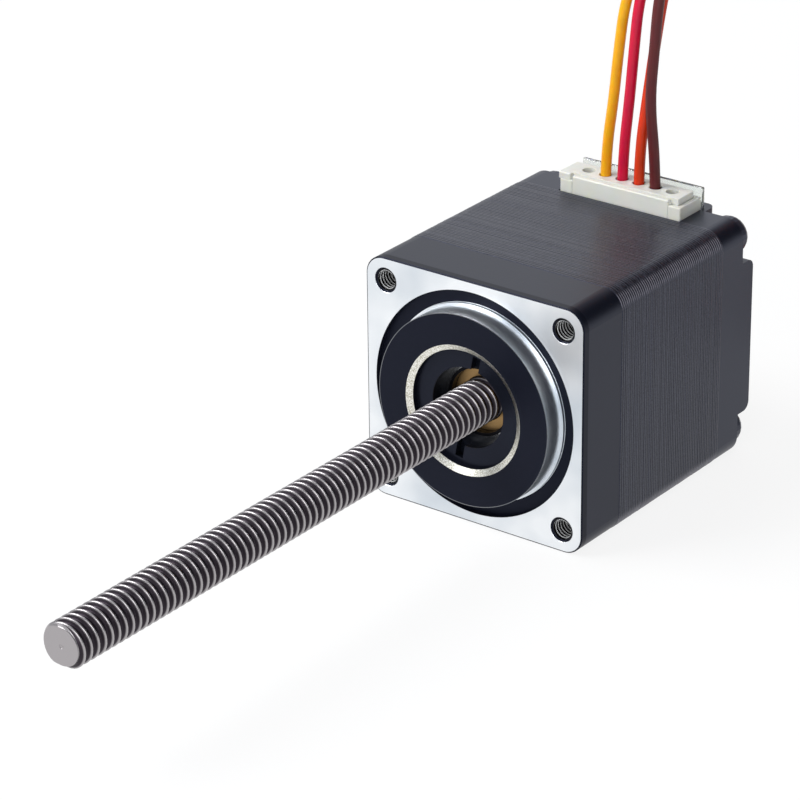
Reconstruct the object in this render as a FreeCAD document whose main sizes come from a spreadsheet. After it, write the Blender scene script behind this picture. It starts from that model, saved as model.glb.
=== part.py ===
import FreeCAD, Part
import math
import os
import re
import Sketcher
from FreeCAD import Rotation, Vector

# A size 11 non-captive linear stepper motor: the rotor is hollow and carries a brass nut,
# and a lead screw runs right through it. X points right, Y back along the screw and Z up.
# The origin is on the screw's axis, in the plane of the front mounting face.

# Driving dimensions, in millimetres unless the name says count or angle
SIZES = {
    # square outer body: front flange, lamination stack and rear cover
    "body_width": 28.2,
    "corner_radius": 2.3,
    "edge_chamfer": 0.1,
    "flange_thickness": 7.0,
    "stack_length": 19.65,
    "cover_base_depth": 4.1,
    "cover_depth": 6.3,
    "cover_arm_width": 18.2,
    "cover_rear_round": 1.0,
    "cover_floor": 1.5,
    "cavity_dia": 25.2,
    "flange_wall": 2.6,
    "fit_gap": 0.02,
    # mounting side
    "bolt_spacing": 23.0,
    "bolt_dia": 2.5,
    "bolt_rim": 0.2,
    "bolt_depth": 4.0,
    "boss_dia": 22.0,
    "boss_height": 2.0,
    "recess_dia": 25.8,
    "recess_depth": 0.8,
    "ledge_width": 0.3,
    "ledge_height": 0.35,
    "bore_chamfer_depth": 0.4,
    "bore_chamfer_width": 0.65,
    # ring that locks the front bearing
    "lock_step": 0.75,
    "lock_bore": 9.2,
    "lock_sink": 1.0,
    "lock_slot_width": 1.0,
    "lock_slot_depth": 0.9,
    "lock_slot_rim": 0.6,
    "lock_slot_angle": 79,
    # the two ball bearings
    "front_bearing_set": 1.3,
    "rear_bearing_gap": 1.5,
    "bearing_width": 3.5,
    "bearing_section": 2.0,
    "ring_land": 0.7,
    "ball_dia": 1.2,
    "ball_count": 11,
    "ball_gap": 0.02,
    "cage_wall": 0.3,
    "cage_width": 1.9,
    "shield_thickness": 0.2,
    "shield_inset": 0.1,
    "hub_wall": 1.6,
    "hub_lip": 0.6,
    "hub_lip_length": 1.0,
    "hub_lead": 0.2,
    "washer_height": 0.4,
    "washer_thickness": 0.2,
    "washer_width": 1.1,
    "rear_hole_gap": 0.3,
    # rotor
    "shaft_lip_wall": 0.35,
    "shaft_overhang": 0.2,
    "shaft_shoulder": 0.6,
    "rotor_teeth_count": 50,
    "tooth_depth": 0.45,
    "air_gap": 0.1,
    "magnet_length": 1.8,
    "magnet_inset": 0.6,
    "core_inset": 0.4,
    # nut and screw
    "nut_flange_dia": 7.3,
    "nut_flange_thickness": 0.8,
    "nut_front": 2.0,
    "nut_length": 18.0,
    "nut_wall": 0.8,
    "screw_dia": 5.0,
    "screw_length": 100.0,
    "screw_reach": 65.5,
    "screw_chamfer": 0.22,
    "thread_gap": 0.06,
    "screw_pitch": 1.0,
    "thread_depth": 0.48,
    "thread_crest": 0.14,
    "thread_root": 0.44,
    "thread_over": 0.1,
    # stator
    "stator_bore": 14.7,
    "pole_count": 8,
    "shoe_angle": 32.4,
    "shoe_thickness": 1.05,
    "shoe_slope": 0.5,
    "pole_neck": 2.6,
    "slot_corner": 11.6,
    "slot_dia": 24.2,
    "stack_hole": 2.8,
    "insulator_thickness": 1.0,
    "insulator_gap": 0.4,
    "insulator_rim": 0.65,
    "insulator_lip": 0.7,
    "insulator_lip_width": 4.2,
    "insulator_lip_height": 1.2,
    "winding_build": 1.25,
    "winding_root": 10.6,
    "winding_round": 1.0,
    "winding_liner": 0.05,
    # long screws that hold the stack together
    "clamp_dia": 2.4,
    "clamp_bite": 2.8,
    "clamp_head_dia": 4.4,
    "clamp_head_height": 2.2,
    "clamp_head_round": 0.7,
    # connector
    "connector_offset": 0.4,
    "contact_pitch": 2.2,
    "contact_count": 6,
    "contact_size": 0.5,
    "contact_length": 2.2,
    "contact_drop": 0.7,
    "contact_tail": 0.15,
    "header_set": 0.25,
    "header_margin": 2.4,
    "header_depth": 4.3,
    "header_height": 4.8,
    "header_rise": 2.3,
    "header_drop": 0.9,
    "header_wall": 0.6,
    "header_floor": 1.2,
    "header_window_inset": 1.6,
    "header_window_depth": 2.1,
    "plug_gap": 0.05,
    "plug_sink": 0.15,
    "plug_cavity_depth": 2.0,
    "wire_row": 2.17,
    "wire_dia": 1.2,
    "wire_play": 0.15,
    "crimp_width": 1.3,
    "crimp_wall": 0.35,
    "board_thickness": 0.6,
    "board_top_inset": 1.3,
    "board_hub_gap": 0.4,
    "board_gap": 0.05,
    "notch_gap": 0.1,
    # coil of the leads' spare length, lying behind the motor
    "coil_x": 15.9,
    "coil_y": 65.8,
    "coil_inner_dia": 9.2,
    "coil_top_dia": 11.9,
    "coil_outer_dia": 19.8,
    "coil_height": 8.6,
    "coil_rim_height": 5.5,
    "tie_width": 2.6,
    "tie_thickness": 0.35,
    "tie_gap": 0.2,
}

doc = FreeCAD.newDocument("linear_stepper")
sheet = doc.addObject("Spreadsheet::Sheet", "Sizes")
for row, (alias, value) in enumerate(SIZES.items(), start=1):
    sheet.set(f"A{row}", alias)
    sheet.set(f"B{row}", str(value))
    sheet.setAlias(f"B{row}", alias)
doc.recompute()

# Places and radii that several pieces share, as expressions of the sheet's cells
HALF = "(body_width / 2)"
BOLT = "(bolt_spacing / 2)"
STACK_REAR = "(flange_thickness + stack_length)"
COVER_SEAT = f"({STACK_REAR} + cover_base_depth)"
COVER_END = f"({STACK_REAR} + cover_depth)"
CAVITY = "(cavity_dia / 2)"
RECESS = "(recess_dia / 2)"
SCREW = "(screw_dia / 2)"
NUT_BORE = f"({SCREW} + thread_gap)"
NUT_BODY = f"({NUT_BORE} + nut_wall)"
NUT_SEAT = "(nut_front + nut_flange_thickness)"
JOURNAL = "(nut_flange_dia / 2 + fit_gap + shaft_lip_wall)"
SHAFT = f"({JOURNAL} + shaft_shoulder)"
BEARING = f"({JOURNAL} + fit_gap + bearing_section)"
BEARING_SEAT = f"({BEARING} + fit_gap)"
BALL_PITCH = f"({JOURNAL} + fit_gap + bearing_section / 2)"
FRONT_BEARING = "front_bearing_set"
FRONT_BEARING_END = "(front_bearing_set + bearing_width)"
REAR_BEARING = f"({STACK_REAR} + rear_bearing_gap)"
REAR_BEARING_END = f"({REAR_BEARING} + bearing_width)"
LOCK = f"({BEARING} + lock_step)"
LOCK_FACE = "(lock_sink - boss_height)"
HUB = f"({BEARING} + hub_wall)"
STATOR_BORE = "(stator_bore / 2)"
SHOE = f"({STATOR_BORE} + shoe_thickness)"
INSULATOR = f"({CAVITY} - insulator_gap)"
ROTOR = f"({STATOR_BORE} - air_gap)"
CORE_LENGTH = "((stack_length - magnet_length) / 2 - core_inset)"
CORE_FRONT = "(flange_thickness + core_inset)"
TOOTH_PITCH = "(360 / rotor_teeth_count)"
POLE_PITCH = "(360 / pole_count)"
HEADER_LENGTH = "(contact_pitch * (contact_count - 1) + 2 * header_margin)"
HEADER_LEFT = f"(connector_offset - {HEADER_LENGTH} / 2)"
HEADER_RIGHT = f"({HEADER_LEFT} + {HEADER_LENGTH})"
HEADER_FRONT = f"({STACK_REAR} + header_set)"
HEADER_TOP = f"({HALF} + header_rise)"
HEADER_BOTTOM = f"({HEADER_TOP} - header_height)"
HEADER_REAR = f"({HEADER_FRONT} + header_depth)"
FIRST_CONTACT = "(connector_offset - contact_pitch * (contact_count - 1) / 2)"
WIRE_ROW = f"({HEADER_FRONT} + wire_row)"
PLUG_TOP = f"({HEADER_TOP} - plug_sink)"
PLUG_BOTTOM = f"({HEADER_BOTTOM} + header_floor + plug_gap)"
CAVITY_END = f"({PLUG_TOP} - plug_cavity_depth)"
BOARD_FRONT = f"({HEADER_REAR} + board_gap)"
BOARD_TOP = f"({HALF} - board_top_inset)"
BOARD_BOTTOM = f"({HUB} + board_hub_gap)"
CONTACT_FOOT = f"({HEADER_BOTTOM} - contact_drop)"
FLOOR = f"(-{HALF})"

nodes = []


def named(text):
    """An expression in which each word of the sheet is written as the sheet's cell."""
    return re.sub(r"[a-z_]+", lambda word: f"Sizes.{word[0]}" if word[0] in SIZES else word[0], text)


def bind(thing, **places):
    """Ties properties of a document object to expressions; two underscores stand for a dot."""
    for place, text in places.items():
        thing.setExpression(place.replace("__", "."), named(text))


def new_body(label):
    """An empty body that becomes one node; it may hold several solids."""
    body = doc.addObject("PartDesign::Body", label)
    body.Label = label
    body.AllowCompound = True
    nodes.append(body)
    return body


def datum(body, role):
    return next(item for item in body.Origin.OriginFeatures if item.Role == role)


def sketch_on(body, plane, offset="0"):
    sketch = body.newObject("Sketcher::SketchObject", f"{body.Name}_outline")
    sketch.AttachmentSupport = [(datum(body, plane), "")]
    sketch.MapMode = "FlatFace"
    bind(sketch, AttachmentOffset__Base__z=offset)
    return sketch


def along(body):
    """A sketch of radius against Y, for pieces turned about the screw's axis."""
    return sketch_on(body, "XY_Plane")


def across(body, y):
    """A sketch of X against Z at one place along the axis."""
    return sketch_on(body, "XZ_Plane", f"-({y})")


def outline(sketch, points):
    """A closed outline of straight sides whose corners are pairs of expressions."""
    first = sketch.GeometryCount
    count = len(points)
    turn = 2 * math.pi / count
    rough = [Vector(20 + 10 * math.cos(i * turn), 20 + 10 * math.sin(i * turn), 0) for i in range(count)]
    sketch.addGeometry([Part.LineSegment(rough[i], rough[(i + 1) % count]) for i in range(count)])
    for i in range(count):
        sketch.addConstraint(Sketcher.Constraint("Coincident", first + i, 2, first + (i + 1) % count, 1))
    for i, (x, y) in enumerate(points):
        tie(sketch, "DistanceX", first + i, 1, rough[i].x, x)
        tie(sketch, "DistanceY", first + i, 1, rough[i].y, y)


def circle(sketch, radius, x="0", y="0"):
    rough = Vector(20, 20, 0)
    item = sketch.addGeometry(Part.Circle(rough, Vector(0, 0, 1), 5))
    place = sketch.addConstraint(Sketcher.Constraint("Radius", item, 5))
    sketch.setExpression(f"Constraints[{place}]", named(radius))
    tie(sketch, "DistanceX", item, 3, rough.x, x)
    tie(sketch, "DistanceY", item, 3, rough.y, y)


def tie(sketch, kind, item, point, rough, text):
    """Holds a point's distance from the sketch's origin to an expression."""
    place = sketch.addConstraint(Sketcher.Constraint(kind, -1, 1, item, point, rough))
    sketch.setExpression(f"Constraints[{place}]", named(text))


def box_outline(sketch, left, right, low, high):
    outline(sketch, [(left, low), (right, low), (right, high), (left, high)])


def polar(radius, angle):
    return f"({radius}) * cos({angle})", f"({radius}) * sin({angle})"


def feature(body, kind, sketch, **places):
    item = body.newObject(f"PartDesign::{kind}", f"{body.Name}_{kind.lower()}")
    item.Profile = sketch
    bind(item, **places)
    return item


def pad(body, sketch, length):
    """Material from the sketch's plane towards the back of the motor."""
    item = feature(body, "Pad", sketch, Length=length)
    item.Reversed = True
    return item


def pocket(body, sketch, length):
    """A cut from the sketch's plane towards the back of the motor."""
    return feature(body, "Pocket", sketch, Length=length)


def turned(body, kind, sketch):
    item = feature(body, kind, sketch)
    item.ReferenceAxis = (sketch, ["V_Axis"])
    item.Angle = 360
    return item


def round_the_axis(body, original, count):
    """Copies of one feature, or of the whole body, evenly spaced about the screw's axis."""
    pattern = body.newObject("PartDesign::PolarPattern", f"{body.Name}_ring")
    if original:
        pattern.Originals = [original]
    else:
        pattern.TransformMode = "Whole shape"
    pattern.Axis = (datum(body, "Y_Axis"), [""])
    pattern.Angle = 360
    bind(pattern, Occurrences=count)
    body.Tip = pattern
    return pattern


def dress(body, kind, edges, **places):
    """A fillet or chamfer on the edges of the body's last feature that a test picks."""
    doc.recompute()
    base = body.Tip
    picked = [f"Edge{i}" for i, edge in enumerate(base.Shape.Edges, start=1) if edges(edge)]
    item = body.newObject(f"PartDesign::{kind}", f"{body.Name}_{kind.lower()}")
    item.Base = (base, picked)
    bind(item, **places)
    return item


def turn(body, angle):
    """Turns a finished body about the screw's axis."""
    body.Placement.Rotation = Rotation(Vector(0, 1, 0), 1)
    bind(body, Placement__Rotation__Angle=angle)


def runs_along_y(edge):
    box = edge.BoundBox
    return box.YLength > 1e-3 and max(box.XLength, box.ZLength) < 1e-4


def lies_at(edge, y):
    box = edge.BoundBox
    return max(abs(box.YMin - y), abs(box.YMax - y)) < 1e-4


def stays_inside(edge):
    """True for a straight edge that doesn't lie on one of the motor's four flat sides."""
    box = edge.BoundBox
    side = SIZES["body_width"] / 2 - 1e-3
    return (box.XLength < 1e-4 and abs(box.XMin) < side) or (box.ZLength < 1e-4 and abs(box.ZMin) < side)


def square_block(body, front, depth):
    """A block of the motor's square section with rounded long edges."""
    sketch = across(body, front)
    box_outline(sketch, f"-{HALF}", HALF, f"-{HALF}", HALF)
    pad(body, sketch, depth)
    dress(body, "Fillet", runs_along_y, Radius="corner_radius")


def corner_holes(body, front, depth, radius):
    sketch = across(body, front)
    for x in (f"-{BOLT}", BOLT):
        for z in (f"-{BOLT}", BOLT):
            circle(sketch, radius, x, z)
    pocket(body, sketch, depth)


def cut_round(body, points):
    sketch = along(body)
    outline(sketch, points)
    turned(body, "Groove", sketch)


def ring(label, points):
    """A node turned about the axis from one outline."""
    body = new_body(label)
    sketch = along(body)
    outline(sketch, points)
    turned(body, "Revolution", sketch)
    return body


def front_flange():
    body = new_body("front_flange")
    square_block(body, "0", "flange_thickness")
    dress(body, "Chamfer", lambda edge: lies_at(edge, 0), Size="edge_chamfer")
    boss = along(body)
    box_outline(boss, "0", "boss_dia / 2", "-boss_height", "recess_depth")
    turned(body, "Revolution", boss)
    foot = "(recess_depth - ledge_height)"
    ledge = "(boss_dia / 2 + ledge_width)"
    cut_round(body, [("boss_dia / 2", "0"), (RECESS, "0"), (RECESS, "recess_depth"),
                     (ledge, "recess_depth"), (ledge, foot), ("boss_dia / 2", foot)])
    lip = f"({BEARING} - hub_lip)"
    hub_end = f"({FRONT_BEARING_END} + hub_lip_length)"
    cut_round(body, [("0", "-boss_height"), (f"{LOCK} + bore_chamfer_width", "-boss_height"),
                     (LOCK, "bore_chamfer_depth - boss_height"), (LOCK, FRONT_BEARING),
                     (BEARING_SEAT, FRONT_BEARING), (BEARING_SEAT, FRONT_BEARING_END),
                     (lip, FRONT_BEARING_END), (lip, hub_end), ("0", hub_end)])
    cut_round(body, [(HUB, "flange_wall"), (CAVITY, "flange_wall"), (CAVITY, "flange_thickness"),
                     ("0", "flange_thickness"), ("0", hub_end), (HUB, hub_end)])
    corner_holes(body, "0", "bolt_depth", "bolt_dia / 2")
    corner_holes(body, "bolt_depth", "flange_thickness - bolt_depth", "clamp_dia / 2 + fit_gap")
    hole = SIZES["bolt_dia"] / 2
    dress(body, "Chamfer", lambda edge: lies_at(edge, 0) and abs(edge.BoundBox.XLength / 2 - hole) < 1e-3,
          Size="bolt_rim")


def bearing_lock_ring():
    radius = f"({LOCK} - fit_gap)"
    body = ring("bearing_lock_ring", [("lock_bore / 2", LOCK_FACE), (radius, LOCK_FACE),
                                      (radius, FRONT_BEARING), ("lock_bore / 2", FRONT_BEARING)])
    slot = across(body, LOCK_FACE)
    reach = f"({LOCK} - lock_slot_rim)"
    box_outline(slot, f"-{reach}", reach, "-lock_slot_width / 2", "lock_slot_width / 2")
    pocket(body, slot, "lock_slot_depth")
    turn(body, "-lock_slot_angle")


def bearing(place, front):
    """Outer ring, inner ring, balls, cage and shields of one deep-groove bearing."""
    back = f"({front} + bearing_width)"
    middle = f"({front} + bearing_width / 2)"
    bore = f"({JOURNAL} + fit_gap)"
    inner_land = f"({bore} + ring_land)"
    outer_land = f"({BEARING} - ring_land)"
    raceway = "(ball_dia / 2 + ball_gap)"
    for label, low, high in (("outer_ring", outer_land, BEARING), ("inner_ring", bore, inner_land)):
        body = new_body(f"{place}_bearing_{label}")
        section = along(body)
        box_outline(section, low, high, front, back)
        turned(body, "Revolution", section)
        groove = along(body)
        circle(groove, raceway, BALL_PITCH, middle)
        turned(body, "Groove", groove)

    balls = new_body(f"{place}_bearing_balls")
    ball = balls.newObject("PartDesign::AdditiveSphere", f"{balls.Name}_ball")
    bind(ball, Radius="ball_dia / 2", Placement__Base__x=BALL_PITCH, Placement__Base__y=middle)
    round_the_axis(balls, ball, "ball_count")

    cage = new_body(f"{place}_bearing_cage")
    band = along(cage)
    box_outline(band, f"{BALL_PITCH} - cage_wall / 2", f"{BALL_PITCH} + cage_wall / 2",
                f"{middle} - cage_width / 2", f"{middle} + cage_width / 2")
    turned(cage, "Revolution", band)
    window = sketch_on(cage, "YZ_Plane", f"{BALL_PITCH} + cage_wall")
    circle(window, raceway, middle)
    round_the_axis(cage, feature(cage, "Pocket", window, Length="2 * cage_wall"), "ball_count")

    shields = new_body(f"{place}_bearing_shields")
    plates = along(shields)
    for start in (f"({front} + shield_inset)", f"({back} - shield_inset - shield_thickness)"):
        box_outline(plates, f"{inner_land} + 2 * fit_gap", f"{outer_land} - fit_gap",
                    start, f"{start} + shield_thickness")
    turned(shields, "Revolution", plates)


def stator_laminations():
    """Eight poles with five teeth each, at the rotor's tooth pitch."""
    body = new_body("stator_laminations")
    square_block(body, "flange_thickness", "stack_length")
    corner_holes(body, "flange_thickness", "stack_length", "stack_hole / 2")
    bore = across(body, "flange_thickness")
    circle(bore, STATOR_BORE)
    pocket(body, bore, "stack_length")
    slot = across(body, "flange_thickness")
    neck = "(pole_neck / 2)"
    side = [polar(f"{STATOR_BORE} - shoe_thickness", "shoe_angle / 2"), polar(SHOE, "shoe_angle / 2"),
            (f"{SHOE} + shoe_slope", neck), ("slot_corner", neck)]
    far_side = [(f"({x}) * cos({POLE_PITCH}) + ({z}) * sin({POLE_PITCH})",
                 f"({x}) * sin({POLE_PITCH}) - ({z}) * cos({POLE_PITCH})") for x, z in reversed(side)]
    outline(slot, side + [polar("slot_dia / 2", f"{POLE_PITCH} / 2")] + far_side)
    round_the_axis(body, pocket(body, slot, "stack_length"), "pole_count")
    gaps = across(body, "flange_thickness")
    for step in (-1.5, -0.5, 0.5, 1.5):
        start, stop = (f"({step} + {edge}) * {TOOTH_PITCH}" for edge in (-0.25, 0.25))
        outline(gaps, [polar(f"{STATOR_BORE} - tooth_depth", start), polar(f"{STATOR_BORE} + tooth_depth", start),
                       polar(f"{STATOR_BORE} + tooth_depth", stop), polar(f"{STATOR_BORE} - tooth_depth", stop)])
    round_the_axis(body, pocket(body, gaps, "stack_length"), "pole_count")


def insulator(label, front, lip_front):
    """A moulded end frame that keeps the windings off the laminations."""
    body = new_body(label)
    rim = across(body, front)
    circle(rim, INSULATOR)
    circle(rim, f"{INSULATOR} - insulator_rim")
    pad(body, rim, "insulator_thickness")
    arm = across(body, front)
    box_outline(arm, f"{SHOE} - insulator_lip", f"{INSULATOR} - insulator_rim / 2", "-pole_neck / 2", "pole_neck / 2")
    round_the_axis(body, pad(body, arm, "insulator_thickness"), "pole_count")
    lip = across(body, lip_front)
    box_outline(lip, f"{SHOE} - insulator_lip", SHOE, "-insulator_lip_width / 2", "insulator_lip_width / 2")
    round_the_axis(body, pad(body, lip, "insulator_thickness + insulator_lip_height"), "pole_count")


def windings(label, angle):
    """The four coils of one phase, each wound round a pole and its insulators."""
    body = new_body(label)
    inner = f"({SHOE} + shoe_slope + fit_gap)"
    front = "(flange_thickness - insulator_thickness - fit_gap)"
    back = f"({STACK_REAR} + insulator_thickness + fit_gap)"
    side = "(pole_neck / 2 + winding_liner)"
    loop = sketch_on(body, "YZ_Plane", inner)
    box_outline(loop, f"{front} - winding_build", f"{back} + winding_build",
                f"-{side} - winding_build", f"{side} + winding_build")
    feature(body, "Pad", loop, Length=f"winding_root - {inner}")
    dress(body, "Fillet", lambda edge: edge.BoundBox.XLength > 1e-3 and edge.BoundBox.YLength < 1e-4,
          Radius="winding_round")
    window = sketch_on(body, "YZ_Plane", "winding_root")
    box_outline(window, front, back, f"-{side}", side)
    feature(body, "Pocket", window, Length=f"winding_root - {inner}")
    doc.recompute()
    round_the_axis(body, None, "pole_count / 2")
    turn(body, angle)


def rear_cover():
    body = new_body("rear_cover")
    square_block(body, STACK_REAR, "cover_base_depth")
    arm = "(cover_arm_width / 2)"
    cross = across(body, COVER_SEAT)
    outline(cross, [(f"-{HALF}", f"-{arm}"), (f"-{arm}", f"-{arm}"), (f"-{arm}", f"-{HALF}"),
                    (arm, f"-{HALF}"), (arm, f"-{arm}"), (HALF, f"-{arm}"), (HALF, arm), (arm, arm),
                    (arm, HALF), (f"-{arm}", HALF), (f"-{arm}", arm), (f"-{HALF}", arm)])
    pad(body, cross, "cover_depth - cover_base_depth")
    doc.recompute()
    end = body.Shape.BoundBox.YMax
    dress(body, "Fillet", lambda edge: lies_at(edge, end) and stays_inside(edge), Radius="cover_rear_round")
    floor = f"({COVER_END} - cover_floor)"
    hub_front = f"({REAR_BEARING} - hub_lead)"
    wall = f"({REAR_BEARING_END} + washer_height)"
    hole = f"({JOURNAL} + rear_hole_gap)"
    cut_round(body, [("0", STACK_REAR), (CAVITY, STACK_REAR), (CAVITY, floor), (HUB, floor), (HUB, hub_front),
                     (BEARING_SEAT, hub_front), (BEARING_SEAT, wall), (hole, wall), (hole, COVER_END),
                     ("0", COVER_END)])
    corner_holes(body, STACK_REAR, "cover_base_depth", "stack_hole / 2")
    left = f"({HEADER_LEFT} - notch_gap)"
    right = f"({HEADER_RIGHT} + notch_gap)"
    shelf = f"({BOARD_TOP} + notch_gap)"
    mouth = across(body, STACK_REAR)
    box_outline(mouth, left, right, shelf, HEADER_TOP)
    pocket(body, mouth, f"{HEADER_REAR} + notch_gap - {STACK_REAR}")
    chamber = across(body, STACK_REAR)
    box_outline(chamber, left, right, f"{BOARD_BOTTOM} - notch_gap", shelf)
    pocket(body, chamber, f"{BOARD_FRONT} + board_thickness + contact_tail + notch_gap - {STACK_REAR}")


def preload_washer():
    """A dished spring washer that keeps the rear bearing pressed forward."""
    low = f"({BEARING_SEAT} - washer_width)"
    high = f"({BEARING_SEAT} - fit_gap)"
    back = f"({REAR_BEARING_END} + washer_height)"
    ring("preload_washer", [(low, f"{back} - washer_thickness"), (low, back),
                            (high, f"{REAR_BEARING_END} + washer_thickness"), (high, REAR_BEARING_END)])


def clamp_screws():
    """Four long screws from the rear cover through the stack into the flange."""
    body = new_body("clamp_screws")
    sketch = along(body)
    bind(sketch, AttachmentOffset__Base__x=BOLT, AttachmentOffset__Base__z=BOLT)
    tip = "(flange_thickness - clamp_bite)"
    head_end = f"({COVER_SEAT} + clamp_head_height)"
    outline(sketch, [("0", tip), ("clamp_dia / 2", tip), ("clamp_dia / 2", COVER_SEAT),
                     ("clamp_head_dia / 2", COVER_SEAT), ("clamp_head_dia / 2", f"{head_end} - clamp_head_round"),
                     ("clamp_head_dia / 2 - clamp_head_round", head_end), ("0", head_end)])
    turned(body, "Revolution", sketch)
    doc.recompute()
    round_the_axis(body, None, "4")


def hollow_shaft():
    lip = "(nut_flange_dia / 2 + fit_gap)"
    bore = f"({NUT_BODY} + fit_gap)"
    front = f"({FRONT_BEARING} - shaft_overhang)"
    back = f"({REAR_BEARING_END} + shaft_overhang)"
    ring("hollow_shaft", [(lip, front), (JOURNAL, front), (JOURNAL, FRONT_BEARING_END),
                          (SHAFT, FRONT_BEARING_END), (SHAFT, REAR_BEARING), (JOURNAL, REAR_BEARING),
                          (JOURNAL, back), (bore, back), (bore, NUT_SEAT), (lip, NUT_SEAT)])


def rotor_core(label, front, angle):
    """One toothed pole piece of the rotor; the rear one is half a tooth ahead of the front one."""
    body = new_body(label)
    disc = across(body, front)
    circle(disc, ROTOR)
    circle(disc, f"{SHAFT} + fit_gap")
    pad(body, disc, CORE_LENGTH)
    gap = across(body, front)
    start, stop = (f"{edge} * {TOOTH_PITCH}" for edge in (-0.25, 0.25))
    outline(gap, [polar(f"{ROTOR} - tooth_depth", start), polar(f"{ROTOR} + tooth_depth", start),
                  polar(f"{ROTOR} + tooth_depth", stop), polar(f"{ROTOR} - tooth_depth", stop)])
    round_the_axis(body, pocket(body, gap, CORE_LENGTH), "rotor_teeth_count")
    turn(body, angle)


def rotor_magnet():
    low = f"({SHAFT} + fit_gap)"
    high = f"({ROTOR} - magnet_inset)"
    front = f"({CORE_FRONT} + {CORE_LENGTH})"
    back = f"({front} + magnet_length)"
    ring("rotor_magnet", [(low, front), (high, front), (high, back), (low, back)])


def drive_nut():
    back = "(nut_front + nut_length)"
    ring("drive_nut", [(NUT_BORE, "nut_front"), ("nut_flange_dia / 2", "nut_front"),
                       ("nut_flange_dia / 2", NUT_SEAT), (NUT_BODY, NUT_SEAT), (NUT_BODY, back),
                       (NUT_BORE, back)])


def lead_screw():
    """A rod with one right-hand thread along its whole length."""
    tip = "(-screw_reach)"
    back = "(screw_length - screw_reach)"
    end = f"({SCREW} - screw_chamfer)"
    body = ring("lead_screw", [("0", tip), (end, tip), (SCREW, f"{tip} + screw_chamfer"),
                               (SCREW, f"{back} - screw_chamfer"), (end, back), ("0", back)])
    root = f"({SCREW} - thread_depth)"
    over = f"({SCREW} + thread_over)"
    foot = "(thread_root / 2)"
    flank = f"((screw_pitch - thread_crest) / 2 - {foot})"
    mouth = f"({foot} + {flank} * (thread_depth + thread_over) / thread_depth)"
    start = f"({tip} - screw_pitch)"
    groove = along(body)
    outline(groove, [(root, f"{start} - {foot}"), (over, f"{start} - {mouth}"),
                     (over, f"{start} + {mouth}"), (root, f"{start} + {foot}")])
    thread = body.newObject("PartDesign::SubtractiveHelix", "lead_screw_thread")
    thread.Profile = groove
    thread.ReferenceAxis = (datum(body, "Y_Axis"), [""])
    thread.Mode = "pitch-height-angle"
    bind(thread, Pitch="screw_pitch", Height="screw_length + 2 * screw_pitch")


def upright(body, z):
    """A sketch of X against Y at one height, for the connector's pieces."""
    return sketch_on(body, "XY_Plane", z)


def contact_row(body, first, count):
    """Copies of the whole body along the connector, one contact pitch apart."""
    doc.recompute()
    row = body.newObject("PartDesign::LinearPattern", f"{body.Name}_row")
    row.TransformMode = "Whole shape"
    row.Direction = (datum(body, "X_Axis"), [""])
    bind(row, Length=f"contact_pitch * ({count} - 1)", Occurrences=count)
    body.Tip = row
    bind(body, Placement__Base__x=f"{FIRST_CONTACT} + contact_pitch * {first}")


def contact_grid(sketch, half_width):
    """One square for each contact, in line along the connector."""
    for index in range(SIZES["contact_count"]):
        x = f"({FIRST_CONTACT} + contact_pitch * {index})"
        box_outline(sketch, f"{x} - {half_width}", f"{x} + {half_width}",
                    f"{WIRE_ROW} - {half_width}", f"{WIRE_ROW} + {half_width}")


def connector_header():
    """An open box with a tall back wall, a window in front and a step over the insulator."""
    body = new_body("connector_header")
    shell = upright(body, HEADER_BOTTOM)
    box_outline(shell, HEADER_LEFT, HEADER_RIGHT, HEADER_FRONT, HEADER_REAR)
    feature(body, "Pad", shell, Length="header_height")
    inside = upright(body, HEADER_TOP)
    box_outline(inside, f"{HEADER_LEFT} + header_wall", f"{HEADER_RIGHT} - header_wall",
                f"{HEADER_FRONT} + header_wall", f"{HEADER_REAR} - header_wall")
    feature(body, "Pocket", inside, Length="header_height - header_floor")
    rim = upright(body, HEADER_TOP)
    box_outline(rim, HEADER_LEFT, HEADER_RIGHT, HEADER_FRONT, f"{HEADER_REAR} - header_wall")
    feature(body, "Pocket", rim, Length="header_drop")
    window = upright(body, HEADER_TOP)
    box_outline(window, f"{HEADER_LEFT} + header_window_inset", f"{HEADER_RIGHT} - header_window_inset",
                HEADER_FRONT, f"{HEADER_FRONT} + header_wall")
    feature(body, "Pocket", window, Length="header_window_depth")
    step = upright(body, f"{INSULATOR} + notch_gap")
    box_outline(step, HEADER_LEFT, HEADER_RIGHT, HEADER_FRONT, f"{STACK_REAR} + insulator_thickness + notch_gap")
    feature(body, "Pocket", step, Length=f"{INSULATOR} + notch_gap - {HEADER_BOTTOM}")
    holes = upright(body, f"{HEADER_BOTTOM} + header_floor")
    contact_grid(holes, "(contact_size / 2 + fit_gap)")
    feature(body, "Pocket", holes, Length="header_floor")


def header_pins():
    """Square pins that stand in the header and bend back through the terminal board."""
    body = new_body("header_pins")
    half = "(contact_size / 2)"
    post = upright(body, CONTACT_FOOT)
    box_outline(post, f"-{half}", half, f"{WIRE_ROW} - {half}", f"{WIRE_ROW} + {half}")
    feature(body, "Pad", post, Length="contact_drop + contact_length")
    leg = across(body, WIRE_ROW)
    box_outline(leg, f"-{half}", half, CONTACT_FOOT, f"{CONTACT_FOOT} + contact_size")
    pad(body, leg, f"{BOARD_FRONT} + board_thickness + contact_tail - {WIRE_ROW}")
    contact_row(body, "0", "contact_count")


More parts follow.
